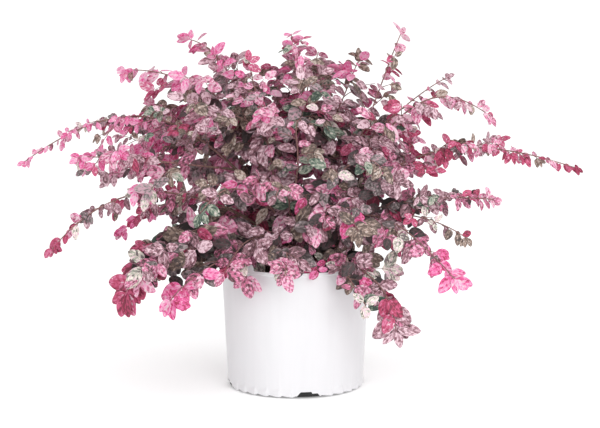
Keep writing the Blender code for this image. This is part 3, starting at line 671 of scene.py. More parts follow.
class Spray:
    """The fine twigs and leaves of one shoot, grown by the solids' rule carried further."""

    def __init__(self, shoot, space, solids, sizes):
        self.shoot = shoot
        self.space = space
        self.solids = solids
        self.sizes = sizes
        self.rng = random.Random(shoot.row.seed)
        self.twigs = []
        self.leaves = []

    def jitter(self, amount):
        return Vector([self.rng.uniform(-amount, amount) for _ in range(3)])

    def grow(self):
        shoot = self.shoot
        points, radii = shoot.stretch(shoot.bough_end, MAIN_TWIG_END, MAIN_TWIG_SPAN)
        self.twigs.append((points, radii))
        leafy = shoot.row.leafy
        full = (shoot.point(1.0) - shoot.point(leafy)).length
        spacing = self.sizes.twig_spacing * shoot.row.sparse
        count = round(full * (TWIG_TO - TWIG_FROM) / spacing)
        order = -1
        for k in range(count):
            order = -order
            share = between(TWIG_FROM, TWIG_TO, (k + self.rng.uniform(*TWIG_PLACE)) / count)
            at = between(leafy, 1.0, share)
            longest = min(TWIG_REACH * (1 - share) ** TWIG_NARROWING * full, TWIG_LONGEST)
            longest *= shoot.row.spread
            length = longest * self.rng.uniform(*TWIG_LENGTHS)
            self.branch(shoot.point(at), shoot.tangent(at), order, length, 1, share)
        self.dress(points, 0.0, 1.0)

    def branch(self, root, tangent, order, length, level, share):
        """One curved side twig, its own finer twigs, and the leaves along them."""
        rng = self.rng
        side = tangent.cross(Vector((0, 0, 1))).normalized() * order
        rise = side.cross(tangent) * order
        lifts = [between(a, b, share) for a, b in zip(TWIG_LIFT_INSIDE, TWIG_LIFT_AT_TIP)]
        for attempt in range(TWIG_TRIES):
            heading = tangent * TWIG_FORWARD + side * rng.uniform(*TWIG_TURN)
            heading = heading + rise * rng.uniform(*lifts) + self.jitter(TWIG_JITTER)
            heading = heading.normalized() * length * (1 - TWIG_SHRINK_STEP * attempt)
            if self.space.holds(self.shoot.number, root + heading, TWIG_SLACK):
                break
        else:
            return
        steps = max(3, round(heading.length / TWIG_SPAN))
        droop = Vector((0, 0, -TWIG_DROOP * heading.length))
        bend = self.jitter(TWIG_BEND * length)
        points = []
        for k in range(steps + 1):
            along = k / steps
            zigzag = side * (TWIG_ZIGZAG * (-1) ** k if k else 0)
            points.append(root + heading * along + droop * along * along
                          + bend * math.sin(math.pi * along) + zigzag)
        radii = [between(TWIG_RADII[level], TWIG_TIP_RADIUS, k / steps) for k in range(steps + 1)]
        self.twigs.append((points, radii))
        if level < max(TWIG_RADII) and length > FORK_AGAIN_OVER:
            forks = int(length / FORK_SPACING)
            turn = order
            for k in range(1, forks):
                turn = -turn
                at = min(steps - 1, int(steps * k / forks))
                shorter = rng.uniform(*FORK_SHARES) * between(*FORK_SHRINK, k / forks)
                self.branch(points[at], (points[at + 1] - points[at]).normalized(), turn,
                            length * shorter, level + 1, share)
        rest = (self.shoot.tip - root).length
        self.dress(points, TWIG_AGE * rest, share)

    def dress(self, points, age, share):
        """Leaves left and right by turns along a twig, and one at its tip."""
        lengths = [(b - a).length for a, b in zip(points, points[1:])]
        total = sum(lengths)
        place = FIRST_LEAF
        turn = self.rng.choice((-1, 1))
        tint = self.tint(points[-1], share)
        retint = RETINT_AFTER
        piece = 0
        walked = 0.0
        while place < total:
            while piece < len(lengths) - 1 and place > walked + lengths[piece]:
                walked += lengths[piece]
                piece += 1
            tangent = (points[piece + 1] - points[piece]).normalized()
            root = points[piece] + tangent * (place - walked)
            far = tint == self.shoot.row.tips and total - place > YOUNG_STRETCH
            self.leaf(root, tangent, turn, total - place, age, "pink" if far else tint)
            turn = -turn
            grown = held((total - place + age) / GROWN_AFTER)
            spacing = between(self.sizes.tip_spacing, self.sizes.inner_spacing, grown)
            spacing *= self.shoot.row.sparse
            if age == 0.0 and total - place < TUFT_STRETCH:
                spacing *= TUFT_CROWDING
            place += spacing * self.rng.uniform(*SPACING_SPREAD)
            if place > retint:
                tint = self.tint(root, share)
                retint += RETINT_AFTER
        tangent = (points[-1] - points[-2]).normalized()
        for turn in (-1, 1, 0):
            self.leaf(points[-1] - tangent * TIP_PAIR * abs(turn), tangent, turn, 0.0, age, tint)

    def thin(self):
        """Drops some leaves, more of them high on the crown, so that twigs and sky show."""
        rng = random.Random(self.shoot.row.seed)
        kept = []
        for leaf in self.leaves:
            share = between(*THINNED, risen(leaf.root)) * (1 - outness(leaf.root))
            if rng.random() > share:
                kept.append(leaf)
        self.leaves = kept

    def tint(self, place, share):
        """The tint of a twig's leaves: pink near the tips of shoots, dark and grey inside."""
        rng = self.rng
        out = outness(place)
        row = self.shoot.row
        near = max(share * out, FLUSH * (abs(share - row.flush) < FLUSH_REACH))
        if rng.random() < row.pink * between(PINK_INSIDE, PINK_AT_TIP, near):
            return row.tips
        weights = [between(inside, at_tip, out) for inside, at_tip in TINT_WEIGHTS.values()]
        return rng.choices(list(TINT_WEIGHTS), weights)[0]

    def leaf(self, root, tangent, turn, to_tip, age, tint):
        rng = self.rng
        grown = held((to_tip + age) / GROWN_AFTER)
        low, high = TIP_LEAF_HEIGHTS
        rise = held((root.z - low) / (high - low))
        small = between(self.sizes.low_tip_leaf, self.sizes.tip_leaf, rise)
        grown *= 1 - FAR_YOUNGER * rise * outness(root)
        length = between(small, self.sizes.inner_leaf, grown)
        length *= self.shoot.row.small * rng.uniform(*LEAF_LENGTHS)
        length *= between(LAST_LEAF_SHARE, 1.0, held(to_tip / LAST_LEAF_STRETCH))
        across = tangent.cross(Vector((0, 0, 1))).normalized()
        for attempt in range(LEAF_TRIES):
            if turn:
                axis = tangent * rng.uniform(*LEAF_FORWARD) + across * turn * LEAF_ACROSS
                axis = axis + Vector((0, 0, rng.uniform(*LEAF_RISE)))
            else:
                axis = tangent
            axis = (axis + self.jitter(LEAF_JITTER)).normalized()
            if self.space.holds(self.shoot.number, root + axis * length, LEAF_SLACK):
                break
        else:
            return
        look = self.look(root)
        axis = (axis - look * axis.dot(look) * rng.uniform(*LEAF_FLATTEN)).normalized()
        sideways = axis.cross(look)
        if sideways.length < EDGE_ON:
            return
        sideways.normalize()
        half = sideways * (length * self.sizes.leaf_width / 2)
        middle = root + axis * length / 2
        blade = (root + axis * length * STALK, middle + half, root + axis * length, middle - half)
        if BVHTree.FromPolygons(blade, ((0, 1, 2, 3),)).overlap(self.solids):
            return
        if rng.random() < STRAY_TINTS:
            tint = self.tint(root, 1 - grown)
        self.leaves.append(Leaf(root, axis, sideways, length, tint))

    def look(self, root):
        """The way a leaf faces: outwards, to the front or the back, and upwards high inside."""
        front = -1 if root.y + self.rng.uniform(-BACK_BLUR, BACK_BLUR) < BACK_BEGINS else 1
        rise = risen(root) * (1 - LOOK_UP_LESS_OUT * outness(root))
        look = Vector((root.x, root.y, 0)).normalized() * LOOK_OUT
        look = look + Vector((0, front * between(*LOOK_FRONT, rise), between(*LOOK_UP, rise)))
        look = look + self.jitter(LOOK_JITTER)
        return look.normalized()


def covered(leaves):
    """For each leaf, how far others further out hide it, 0 to 1."""
    middles = [leaf.root + leaf.axis * leaf.length / 2 for leaf in leaves]
    tree = kdtree.KDTree(len(middles))
    for number, middle in enumerate(middles):
        tree.insert(middle, number)
    tree.balance()
    hidden = []
    for middle in middles:
        out = (middle - CROWN_CENTRE).normalized()
        ahead = 0
        for other, _, _ in tree.find_range(middle, COVER_REACH):
            if (other - middle).dot(out) > COVER_AHEAD:
                ahead += 1
        hidden.append(min(1.0, ahead / COVER_COUNT))
    return hidden


class LeafShape:
    """A leaf cut into small uneven faces, with marblings that deal shades to them.

    The rows of faces run forward from the midrib to the rim, as side veins do.
    """

    def __init__(self, bands, strips, rng):
        columns = [between(MIDRIB, 1.0, k / (strips // 2)) for k in range(strips // 2 + 1)]
        columns = [-u for u in reversed(columns) if u] + columns
        self.along = [0.0]
        self.across = [0.0]
        grid = [[0] * len(columns)]
        for band in range(bands):
            even = band / bands
            base = between(STALK, 1.0, (even + (1 - math.cos(math.pi * even)) / 2) / 2)
            grid.append(list(range(len(self.along), len(self.along) + len(columns))))
            for u in columns:
                loose = band and abs(u) > MIDRIB
                shake = rng.uniform(-SHAKE, SHAKE) / bands if loose else 0
                ahead = ROWS_FORWARD * abs(u) * (base - STALK) * (1 - base)
                self.along.append(base + ahead + shake * (1 - even))
                inner = loose and abs(u) < 1
                self.across.append(u + (rng.uniform(-SHAKE, SHAKE) / strips if inner else 0))
        grid.append([len(self.along)] * len(columns))
        self.along.append(1.0)
        self.across.append(0.0)
        self.faces = []
        for low, high in zip(grid, grid[1:]):
            for k in range(len(columns) - 1):
                corners = list(dict.fromkeys((low[k], low[k + 1], high[k + 1], high[k])))
                if len(corners) == 4 and rng.random() < 0.5:
                    corners = corners[1:] + corners[:1]
                self.faces.append(tuple(corners[:3]))
                if len(corners) == 4:
                    self.faces.append((corners[0], corners[2], corners[3]))
        self.t = np.array(self.along)
        self.u = np.array(self.across)
        middles_t = np.array([self.t[list(face)].mean() for face in self.faces])
        middles_u = np.array([self.u[list(face)].mean() for face in self.faces])
        self.rim = (np.abs(middles_u) > RIM_FROM).astype(float)
        self.rib = (np.abs(middles_u) < MIDRIB).astype(float)
        self.marblings = [self.marbling(middles_t, middles_u, rng) for _ in range(MARBLINGS)]

    def marbling(self, along, across, rng):
        """How far each face strays from the leaf's paleness: by grain, side veins and patches."""
        grain = np.array([rng.gauss(0, 1) for _ in self.faces])
        slant = along - VEIN_SLANT * np.abs(across)
        veins = np.sin(math.pi * VEINS * slant + rng.uniform(0, 2 * math.pi))
        patches = 1.0
        for _ in range(2):
            long, wide = (rng.uniform(*PATCH_WAVES) for _ in range(2))
            phase = rng.uniform(0, 2 * math.pi)
            wave = long * along + rng.choice((-wide, wide)) * across / 2 + phase
            patches = patches * np.sin(wave)
        return grain * GRAIN_SHARE + veins * VEIN_SHARE + patches * PATCH_SHARE

    def points(self, leaf, rng, width):
        """The leaf's corners in place."""
        blade = np.clip((self.t - STALK) / (1 - STALK), 0, 1)
        outline = np.sin(np.pi * blade**WIDEST_BEFORE_MIDDLE) ** BLUNTNESS * (1 - TAPER * blade)
        outline = np.maximum(outline, STALK_HALF_WIDTH * (self.t < WIDE_STALK_TO))
        half = outline * width * rng.uniform(*LEAF_WIDTHS) * leaf.length / 2
        normal = np.cross(leaf.sideways, leaf.axis)
        lift = rng.uniform(*LEAF_FOLD) * np.abs(self.u) * half
        lift = lift - rng.uniform(*LEAF_CURL) * leaf.length * self.t**2
        wave = np.sin(WAVE_ALONG * self.t + WAVE_ACROSS * self.u) * np.abs(self.u)
        lift = lift + rng.uniform(*LEAF_WAVE) * leaf.length * wave
        return (np.array(leaf.root) + np.outer(self.t * leaf.length, leaf.axis)
                + np.outer(self.u * half, leaf.sideways) + np.outer(lift, normal))

    def shades(self, rng, tint, hidden, place):
        """The number of each face's colour, from a marbling about the leaf's own paleness."""
        paleness = rng.gauss(tint.paleness, tint.spread)
        # Painted light: leaves high on the crown and out on it are made paler, as if lit more there.
        paleness += PAINTED_TOP_LIGHT * risen(place) + PAINTED_OUTER_LIGHT * outness(place)
        # Painted shade: a leaf hidden behind others is made darker, less so high on the crown.
        paleness -= HIDDEN_PAINTED_SHADE * hidden * (1 - risen(place))
        steps = paleness + tint.contrast * rng.choice(self.marblings)
        steps = steps + tint.rim * self.rim + MIDRIB_PALER * self.rib
        steps = np.clip(np.rint(steps), 0, len(tint.shades) - 1).astype(int)
        return np.array([COLOUR_NAMES.index(name) for name in tint.shades])[steps].tolist()


def linear(red, green, blue):
    """A screen colour of 0 to 255 as the linear values that a shader takes."""
    shares = [value / 255 for value in (red, green, blue)]
    return tuple(c / 12.92 if c <= 0.04045 else ((c + 0.055) / 1.055) ** 2.4 for c in shares)


LEAF_COLOURS = {
    "ink": linear(45, 37, 37),
    "charcoal": linear(69, 58, 59),
    "slate": linear(93, 81, 82),
    "grey": linear(114, 102, 103),
    "ash": linear(152, 140, 141),
    "plum": linear(87, 56, 62),
    "dusty": linear(122, 84, 93),
    "mauve": linear(156, 111, 123),
    "grey_pink": linear(190, 151, 163),
    "pale_pink": linear(230, 198, 208),
    "wine": linear(122, 42, 64),
    "crimson": linear(174, 59, 94),
    "raspberry": linear(196, 84, 122),
    "orchid": linear(180, 100, 129),
    "rose": linear(208, 117, 151),
    "hot_pink": linear(221, 85, 145),
    "bright_pink": linear(231, 129, 176),
    "soft_pink": linear(238, 168, 200),
    "cream": linear(242, 234, 222),
    "stone": linear(204, 192, 184),
    "umber": linear(90, 73, 66),
    "taupe": linear(112, 94, 86),
    "khaki": linear(142, 121, 110),
    "sand": linear(190, 166, 156),
    "moss": linear(62, 78, 68),
    "grey_green": linear(104, 118, 104),
    "sage": linear(158, 164, 148),
}
COLOUR_NAMES = list(LEAF_COLOURS)

Tint = namedtuple("Tint", "shades paleness spread contrast rim")

# Shades from dark to pale, a leaf's own place among them, and how far its faces stray
TINTS = {
    "young": Tint(("crimson", "hot_pink", "bright_pink", "soft_pink", "pale_pink"),
                  1.35, 0.5, 1.0, 0.2),
    "red": Tint(("wine", "crimson", "raspberry", "rose", "pale_pink"), 1.0, 0.5, 1.0, 0.0),
    "pink": Tint(("plum", "dusty", "orchid", "rose", "soft_pink", "pale_pink"),
                 2.7, 0.6, 1.6, 0.0),
    "marbled": Tint(("plum", "dusty", "mauve", "grey_pink", "pale_pink"), 2.1, 0.5, 1.4, 0.0),
    "dark": Tint(("charcoal", "slate", "grey", "ash", "grey_pink"), 2.1, 0.5, 1.3, 0.0),
    # Painted shade: near-black shades for leaves hidden behind others
    "painted_shade": Tint(("ink", "charcoal", "plum", "slate"), 1.4, 0.5, 1.0, 0.0),
    "bronze": Tint(("charcoal", "umber", "taupe", "khaki", "sand", "stone"), 2.1, 0.6, 1.3, 0.0),
    "splashed": Tint(("grey", "sage", "stone", "cream", "pale_pink"), 2.0, 0.7, 1.6, 0.5),
    "green": Tint(("moss", "grey_green", "sage", "stone"), 0.7, 0.5, 1.1, 0.3),
}

# How often a twig takes each tint: in the middle of the crown, and at its outside
TINT_WEIGHTS = {
    "red": (0.5, 1.6),
    "pink": (2.2, 3.4),
    "marbled": (3.8, 3.4),
    "dark": (1.6, 0.2),
    "bronze": (2.4, 1.4),
    "splashed": (0.7, 0.9),
    "green": (0.7, 0.2),
}
# Painted shade: steps darker for a leaf hidden behind others
HIDDEN_PAINTED_SHADE = 1.15
THINNED = (0.2, 0.85)
# Painted light: steps paler for a leaf high on the crown, and for one out on it
PAINTED_TOP_LIGHT = 0.6
PAINTED_OUTER_LIGHT = 0.75
# Painted shade: the chance that a hidden leaf takes the near-black tint
PAINTED_SHADE_CHANCE = 0.6
PINK_INSIDE = 0.12
PINK_AT_TIP = 0.75
STRAY_TINTS = 0.15
RETINT_AFTER = 0.09
YOUNG_STRETCH = 0.045
FLUSH = 1.1
FLUSH_REACH = 0.09


# Floor and lamps
FLOOR_HALF = 30.0
OVERHEAD_SPREAD = math.radians(100)
OVERHEAD_TILT = (math.radians(18), math.radians(8), 0.0)
KEY_SIZE = 1.6
KEY_PLACE = Vector((1.0, -2.8, 1.5))
KEY_AIM = Vector((0.0, 0.0, 0.3))


class StageSettings(bpy.types.PropertyGroup):
    """Camera, floor and light"""

    distance: FloatProperty(name="Distance", description="Level distance from camera to pot",
                            default=5.1, min=0.5, subtype="DISTANCE", unit="LENGTH")
    height: FloatProperty(name="Height", description="Height of the camera above the floor",
                          default=1.24, subtype="DISTANCE", unit="LENGTH")
    aim_x: FloatProperty(name="Aim across", description="Where the camera looks, across",
                         default=0.0083, subtype="DISTANCE", unit="LENGTH")
    aim_height: FloatProperty(name="Aim height", description="Height that the camera looks at",
                              default=0.3215, subtype="DISTANCE", unit="LENGTH")
    lens: FloatProperty(name="Lens", description="Focal length of the camera in millimetres",
                        default=167.7, min=10.0)
    floor_colour: FloatVectorProperty(name="Floor", description="Colour of the floor",
                                      default=(0.93, 0.93, 0.93), size=3, subtype="COLOR")
    floor_glow: FloatProperty(name="Floor glow", description="Light of the lit paper floor",
                              default=0.30, min=0.0)
    sky: FloatProperty(name="Even light", description="Strength of the light from all round",
                       default=0.60, min=0.0)
    overhead: FloatProperty(name="Overhead light", description="Strength of the soft top light",
                            default=1.10, min=0.0)
    key: FloatProperty(name="Key light", description="Power of the soft front light",
                       default=26.0, min=0.0, unit="POWER")


class PotSettings(bpy.types.PropertyGroup):
    """The nursery pot"""

    outside: FloatVectorProperty(name="Outside", description="Colour of the pot outside",
                                 default=(0.82, 0.815, 0.835), size=3, subtype="COLOR")
    inside: FloatVectorProperty(name="Inside", description="Colour of the pot inside",
                                default=(0.008, 0.008, 0.009), size=3, subtype="COLOR")


class PlantSettings(bpy.types.PropertyGroup):
    """Wood, mix and foliage"""

    bark: FloatVectorProperty(name="Bark", description="Main colour of stem and boughs",
                              default=(0.15, 0.09, 0.07), size=3, subtype="COLOR")
    young_bark: FloatVectorProperty(name="Young bark", description="Colour of the thin twigs",
                                    default=(0.22, 0.11, 0.10), size=3, subtype="COLOR")
    mix: FloatVectorProperty(name="Mix", description="Colour of the bark mix",
                             default=(0.06, 0.038, 0.026), size=3, subtype="COLOR")
    inner_leaf: FloatProperty(name="Grown leaf", description="Length of a full-grown leaf",
                              default=0.043, subtype="DISTANCE", unit="LENGTH")
    tip_leaf: FloatProperty(name="Tip leaf", description="Length of the leaves near a high tip",
                            default=0.025, subtype="DISTANCE", unit="LENGTH")
    low_tip_leaf: FloatProperty(name="Low tip leaf",
                                description="Length of the leaves near a low tip",
                                default=0.042, subtype="DISTANCE", unit="LENGTH")
    leaf_width: FloatProperty(name="Leaf width", description="Width of a leaf over its length",
                              default=0.60, min=0.1, max=1.5)
    inner_spacing: FloatProperty(name="Grown spacing", description="Spacing of full-grown leaves",
                                 default=0.013, subtype="DISTANCE", unit="LENGTH")
    tip_spacing: FloatProperty(name="Tip spacing", description="Leaf spacing near a shoot's tip",
                               default=0.011, subtype="DISTANCE", unit="LENGTH")
    twig_spacing: FloatProperty(name="Twig spacing", description="Spacing of the side twigs",
                                default=0.022, subtype="DISTANCE", unit="LENGTH")
    limb_sides: IntProperty(name="Limb sides", description="Sides of the boughs", default=10, min=3)


def bark_finish(name, colour):
    finish = Finish(name, colour, 0.85)
    grain = finish.noise(scale=260.0, detail=6.0, roughness=0.65)
    patches = finish.noise(scale=38.0)
    streaks = finish.blend(finish.spread(grain, 0.35, 0.68), lighter(colour, 0.45),
                           lighter(colour, 2.2, 0.03))
    finish.set("Base Color", finish.blend(finish.spread(patches, 0.3, 0.7) * 0.6, streaks, colour))
    finish.set("Roughness", finish.spread(grain, 0.2, 0.8, 0.95, 0.7))
    finish.bump(grain, 0.6, 0.0006)
    return finish


def pot_finish(name, colour, roughness, mottle):
    """Moulded plastic: faint clouds, flow streaks that run up the wall, and a fine grain."""
    finish = Finish(name, colour, roughness)
    cloud = finish.noise(scale=9.0, detail=4.0)
    streaks = finish.noise(scale=60.0, where=finish.stretched(1.0, 1.0, 0.06))
    grain = finish.noise(scale=900.0, detail=2.0)
    tone = finish.spread(cloud, 0.35, 0.7) * 0.6 + finish.spread(streaks, 0.35, 0.7) * 0.4
    finish.set("Base Color", finish.blend(tone, colour, lighter(colour, 1 - mottle)))
    finish.set("Roughness", finish.spread(streaks, 0.3, 0.7, roughness - 0.06, roughness + 0.08))
    finish.bump(grain + streaks * 0.6, 0.12, 0.0002)
    return finish


class PLANT_OT_stage(bpy.types.Operator):
    """Floor, soft studio light and the camera at the photograph's angle"""

    bl_idname = "plant.make_stage"
    bl_label = "Stage"

    def execute(self, context):
        settings = context.scene.plant_stage
        scene = context.scene
        lens = bpy.data.cameras.new("camera")
        camera = add_object("camera", lens)
        lens.sensor_width = 36.0
        lens.lens = settings.lens
        lens.clip_end = 60.0
        camera.location = (settings.aim_x, -settings.distance, settings.height)
        look = Vector((settings.aim_x, 0.0, settings.aim_height)) - camera.location
        camera.rotation_euler = look.to_track_quat("-Z", "Y").to_euler()
        scene.camera = camera

        mesh = bpy.data.meshes.new("floor")
        half = FLOOR_HALF
        mesh.from_pydata([(-half, -half, 0), (half, -half, 0), (half, half, 0), (-half, half, 0)],
                         [], [(0, 1, 2, 3)])
        floor = add_object("floor", mesh)
        finish = Finish("floor_paper", tuple(settings.floor_colour), 0.9)
        finish.set("Emission Color", (1.0, 1.0, 1.0))
        finish.set("Emission Strength", settings.floor_glow)
        mesh.materials.append(finish.material)

        scene.view_settings.view_transform = "Standard"
        world = bpy.data.worlds.new("studio")
        scene.world = world
        world.use_nodes = True
        background = world.node_tree.nodes["Background"]
        background.inputs["Color"].default_value = (1.0, 1.0, 1.0, 1.0)
        background.inputs["Strength"].default_value = settings.sky
        top = bpy.data.lights.new("overhead", "SUN")
        top.energy = settings.overhead
        top.angle = OVERHEAD_SPREAD
        lamp = add_object("overhead", top)
        lamp.rotation_euler = OVERHEAD_TILT
        key = bpy.data.lights.new("key", "AREA")
        key.energy = settings.key
        key.size = KEY_SIZE
        lamp = add_object("key", key)
        lamp.location = KEY_PLACE
        aim = KEY_AIM - lamp.location
        lamp.rotation_euler = aim.to_track_quat("-Z", "Y").to_euler()
        return {"FINISHED"}


def from_quarter(angle, middle):
    """The angle to the nearest of four places, a quarter turn apart."""
    quarter = 2 * math.pi / QUARTERS
    return (angle - middle + quarter / 2) % quarter - quarter / 2


def pot_radius(height):
    """Outer radius of the tapered wall, without ribs or collar."""
    return between(POT_FOOT_RADIUS, POT_TOP_RADIUS, height / POT_HEIGHT)


def rib_swell(angle):
    """0 beside a rib to 1 on its crest: a rib swells slowly and ends in a steep side."""
    turn = angle / (2 * math.pi) * RIB_COUNT % 1
    if turn < RIB_STEEP_FROM:
        return turn / RIB_STEEP_FROM
    return (1 - turn) / (1 - RIB_STEEP_FROM)


def foot_edge(angle):
    """Height of the wall's lower edge: scalloped by the ribs, and raised in a drain notch."""
    along = from_quarter(angle, NOTCH_ANGLE) * POT_FOOT_RADIUS
    slope = (NOTCH_FOOT_WIDTH / 2 - abs(along)) / ((NOTCH_FOOT_WIDTH - NOTCH_TOP_WIDTH) / 2)
    height = NOTCH_HEIGHT * held(slope)
    if along > NOTCH_TOP_WIDTH / 2 - NOTCH_LEDGE_WIDTH:
        height = min(height, NOTCH_LEDGE)
    return max(height, FOOT_LIFT + SCALLOP * (1 - rib_swell(angle)))


def rim_edge(angle):
    """Height of the rim, which rises into a rounded grip once a quarter."""
    inside = TAB_WIDTH / 2 - abs(from_quarter(angle, TAB_ANGLE)) * POT_TOP_RADIUS
    rise = held(inside / TAB_ROUNDING)
    return POT_HEIGHT + TAB_HEIGHT * math.sqrt(1 - (1 - rise) ** 2)


def rib(angle, height):
    """How far the foot's ribs stand out."""
    near_notch = abs(from_quarter(angle, NOTCH_ANGLE)) * POT_FOOT_RADIUS
    if near_notch < NOTCH_FOOT_WIDTH / 2 + RIB_CLEAR:
        return 0.0
    swell = rib_swell(angle)
    top = RIB_HEIGHT * between(RIB_LOWEST_TOP, 1.0, swell) + RIB_FADE
    return RIB_DEPTH * swell * held((top - height) / (RIB_FADE_STRETCH * RIB_FADE))


def pot_section(angle):
    """(radius, height) round the pot's section: out below, up outside, down inside."""
    foot = foot_edge(angle)
    rim = rim_edge(angle)
    recess = POT_FOOT_RADIUS - NOTCH_REACH_IN
    section = [(recess - RIM_ROUNDING, 0.0), (recess, foot), (POT_FOOT_RADIUS - POT_WALL, foot),
               (POT_FOOT_RADIUS - RIM_ROUNDING / 2, foot)]
    for share in FOOT_RINGS:
        height = between(foot, FOOT_ZONE, share)
        section.append((pot_radius(height) + rib(angle, height), height))
    collar = POT_HEIGHT - COLLAR_HEIGHT
    for share in WALL_RINGS:
        height = between(FOOT_ZONE, collar, share)
        section.append((pot_radius(height) - COLLAR_STEP * share, height))
    section.append((pot_radius(collar), collar + COLLAR_STEP))
    section.append((pot_radius(rim - 2 * RIM_ROUNDING), rim - 2 * RIM_ROUNDING))
    outer = pot_radius(rim)
    for middle, turn in ((outer - RIM_ROUNDING, 0), (outer - POT_WALL + RIM_ROUNDING, 90)):
        for k in range(RIM_STEPS + 1):
            at = math.radians(turn + 90 * k / RIM_STEPS)
            section.append((middle + RIM_ROUNDING * math.cos(at),
                            rim - RIM_ROUNDING + RIM_ROUNDING * math.sin(at)))
    inner = -POT_WALL
    for height in (collar, MIX_HIGH.z, POT_FLOOR):
        section.append((pot_radius(height) + inner, height))
    return section


class PLANT_OT_pot(bpy.types.Operator):
    """The white nursery pot, black inside, with its collar, grips, foot ribs and drain notches, and
    black underneath, partly as painted shade under the foot
    """

    bl_idname = "plant.make_pot"
    bl_label = "Pot"

    def execute(self, context):
        settings = context.scene.plant_pot
        angles = [2 * math.pi * k / POT_FINE_SIDES for k in range(POT_FINE_SIDES)]
        sections = [pot_section(angle) for angle in angles]
        rings = len(sections[0])
        points = []
        for ring in range(rings):
            for angle, section in zip(angles, sections):
                points.append(at_azimuth(angle, *section[ring]))
        faces = []
        slots = []
        # Black plastic also on the underside, the recess wall and the lower lip of the foot: partly
        # the pot's black inner layer, partly painted shade under the foot.
        white_from = 2
        white_to = rings - 4
        for ring in range(rings - 1):
            faces.extend(ring_faces(ring * POT_FINE_SIDES, (ring + 1) * POT_FINE_SIDES,
                                    POT_FINE_SIDES))
            black = not white_from <= ring < white_to
            slots.extend([int(black)] * POT_FINE_SIDES)
        below = len(points)
        points.append(Vector((0, 0, 0)))
        points.append(Vector((0, 0, POT_FLOOR)))
        last = (rings - 1) * POT_FINE_SIDES
        for side in range(POT_FINE_SIDES):
            after = (side + 1) % POT_FINE_SIDES
            faces.append((below, after, side))
            faces.append((below + 1, last + side, last + after))
        slots.extend([1] * 2 * POT_FINE_SIDES)
        heap = MeshHeap()
        heap.add(points, faces, slots)
        finishes = [pot_finish("pot_white_plastic", tuple(settings.outside), 0.40, 0.05),
                    pot_finish("pot_black_plastic", tuple(settings.inside), 0.55, 0.4)]
        piece = heap.piece("pot_shell", finishes, sharp_from=40)
        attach(piece, "root")
        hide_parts("pot")
        return {"FINISHED"}


class PLANT_OT_mix(bpy.types.Operator):
    """The rough bark mix, with chips standing out of its surface"""

    bl_idname = "plant.make_mix"
    bl_label = "Bark mix"

    def execute(self, context):
        settings = context.scene.plant_looks
        heap = MeshHeap()
        radius = MIX_HIGH.x - MIX_CLEAR
        points = [Vector((0, 0, MIX_HIGH.z))]
        for ring in range(1, MIX_RINGS + 1):
            for side in range(MIX_FINE_SIDES):
                place = at_azimuth(2 * math.pi * side / MIX_FINE_SIDES,
                                   radius * ring / MIX_RINGS, 0)
                lump = MIX_LUMP * noise.noise(place * MIX_LUMPS_A_METRE)
                lump += MIX_GRAIN * noise.noise(place * MIX_GRAINS_A_METRE)
                fade = min(1.0, (MIX_RINGS - ring) / MIX_EDGE_RINGS)
                points.append(place + Vector((0, 0, MIX_HIGH.z + lump * fade)))
        faces = [(0, 1 + k, 1 + (k + 1) % MIX_FINE_SIDES) for k in range(MIX_FINE_SIDES)]
        for ring in range(MIX_RINGS - 1):
            low = 1 + ring * MIX_FINE_SIDES
            faces.extend(ring_faces(low, low + MIX_FINE_SIDES, MIX_FINE_SIDES, flip=True))
        base = len(points)
        foot = pot_radius(MIX_LOW.z) - POT_WALL - MIX_CLEAR
        for side in range(MIX_FINE_SIDES):
            points.append(at_azimuth(2 * math.pi * side / MIX_FINE_SIDES, foot, MIX_LOW.z))
        faces.extend(ring_faces(base - MIX_FINE_SIDES, base, MIX_FINE_SIDES, flip=True))
        faces.append(tuple(base + side for side in reversed(range(MIX_FINE_SIDES))))
        heap.add(points, faces)
        rng = random.Random(SEED)
        for _ in range(CHIP_COUNT):
            heap.add(*self.chip(rng, radius))
        colour = tuple(settings.mix)
        finish = Finish("bark_mix", colour, 0.95)
        grain = finish.noise(scale=320.0, detail=5.0, roughness=0.7)
        lumps = finish.noise(scale=90.0, roughness=0.6)
        share = finish.spread(lumps, 0.4, 0.75) * finish.spread(grain, 0.3, 0.7)
        finish.set("Base Color", finish.blend(share, lighter(colour, 0.5), lighter(colour, 3, 0.02)))
        finish.bump(grain, 0.8, 0.001)
        piece = heap.piece("mix_surface", [finish], sharp_from=35)
        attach(piece, "root")
        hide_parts("potting_mix")
        return {"FINISHED"}

    def chip(self, rng, radius):
        """(points, faces) of one splinter of bark lying on the mix."""
        out = math.sqrt(rng.random()) * (radius - 2 * CHIP_LENGTHS[0])
        place = at_azimuth(rng.uniform(0, 2 * math.pi), out, MIX_HIGH.z + rng.uniform(*CHIP_RISE))
        along = Vector([rng.uniform(-most, most) for most in (1, 1, CHIP_TILT)])
        along.normalize()
        side = along.cross(Vector((0, 0, 1))).normalized()
        up = side.cross(along)
        long, wide, thick = (rng.uniform(*size) for size in (CHIP_LENGTHS, CHIP_WIDTHS, CHIP_DEPTHS))
        corners = []
        for end in (-1, 1):
            for b, c in ((-1, -1), (1, -1), (1, 1), (-1, 1)):
                corners.append(place + along * end * long * rng.uniform(*CHIP_ENDS)
                               + side * b * wide * rng.uniform(*CHIP_EDGES) + up * c * thick)
        return corners, ((0, 1, 2, 3), (7, 6, 5, 4), (0, 4, 5, 1), (1, 5, 6, 2), (2, 6, 7, 3),
                         (3, 7, 4, 0))


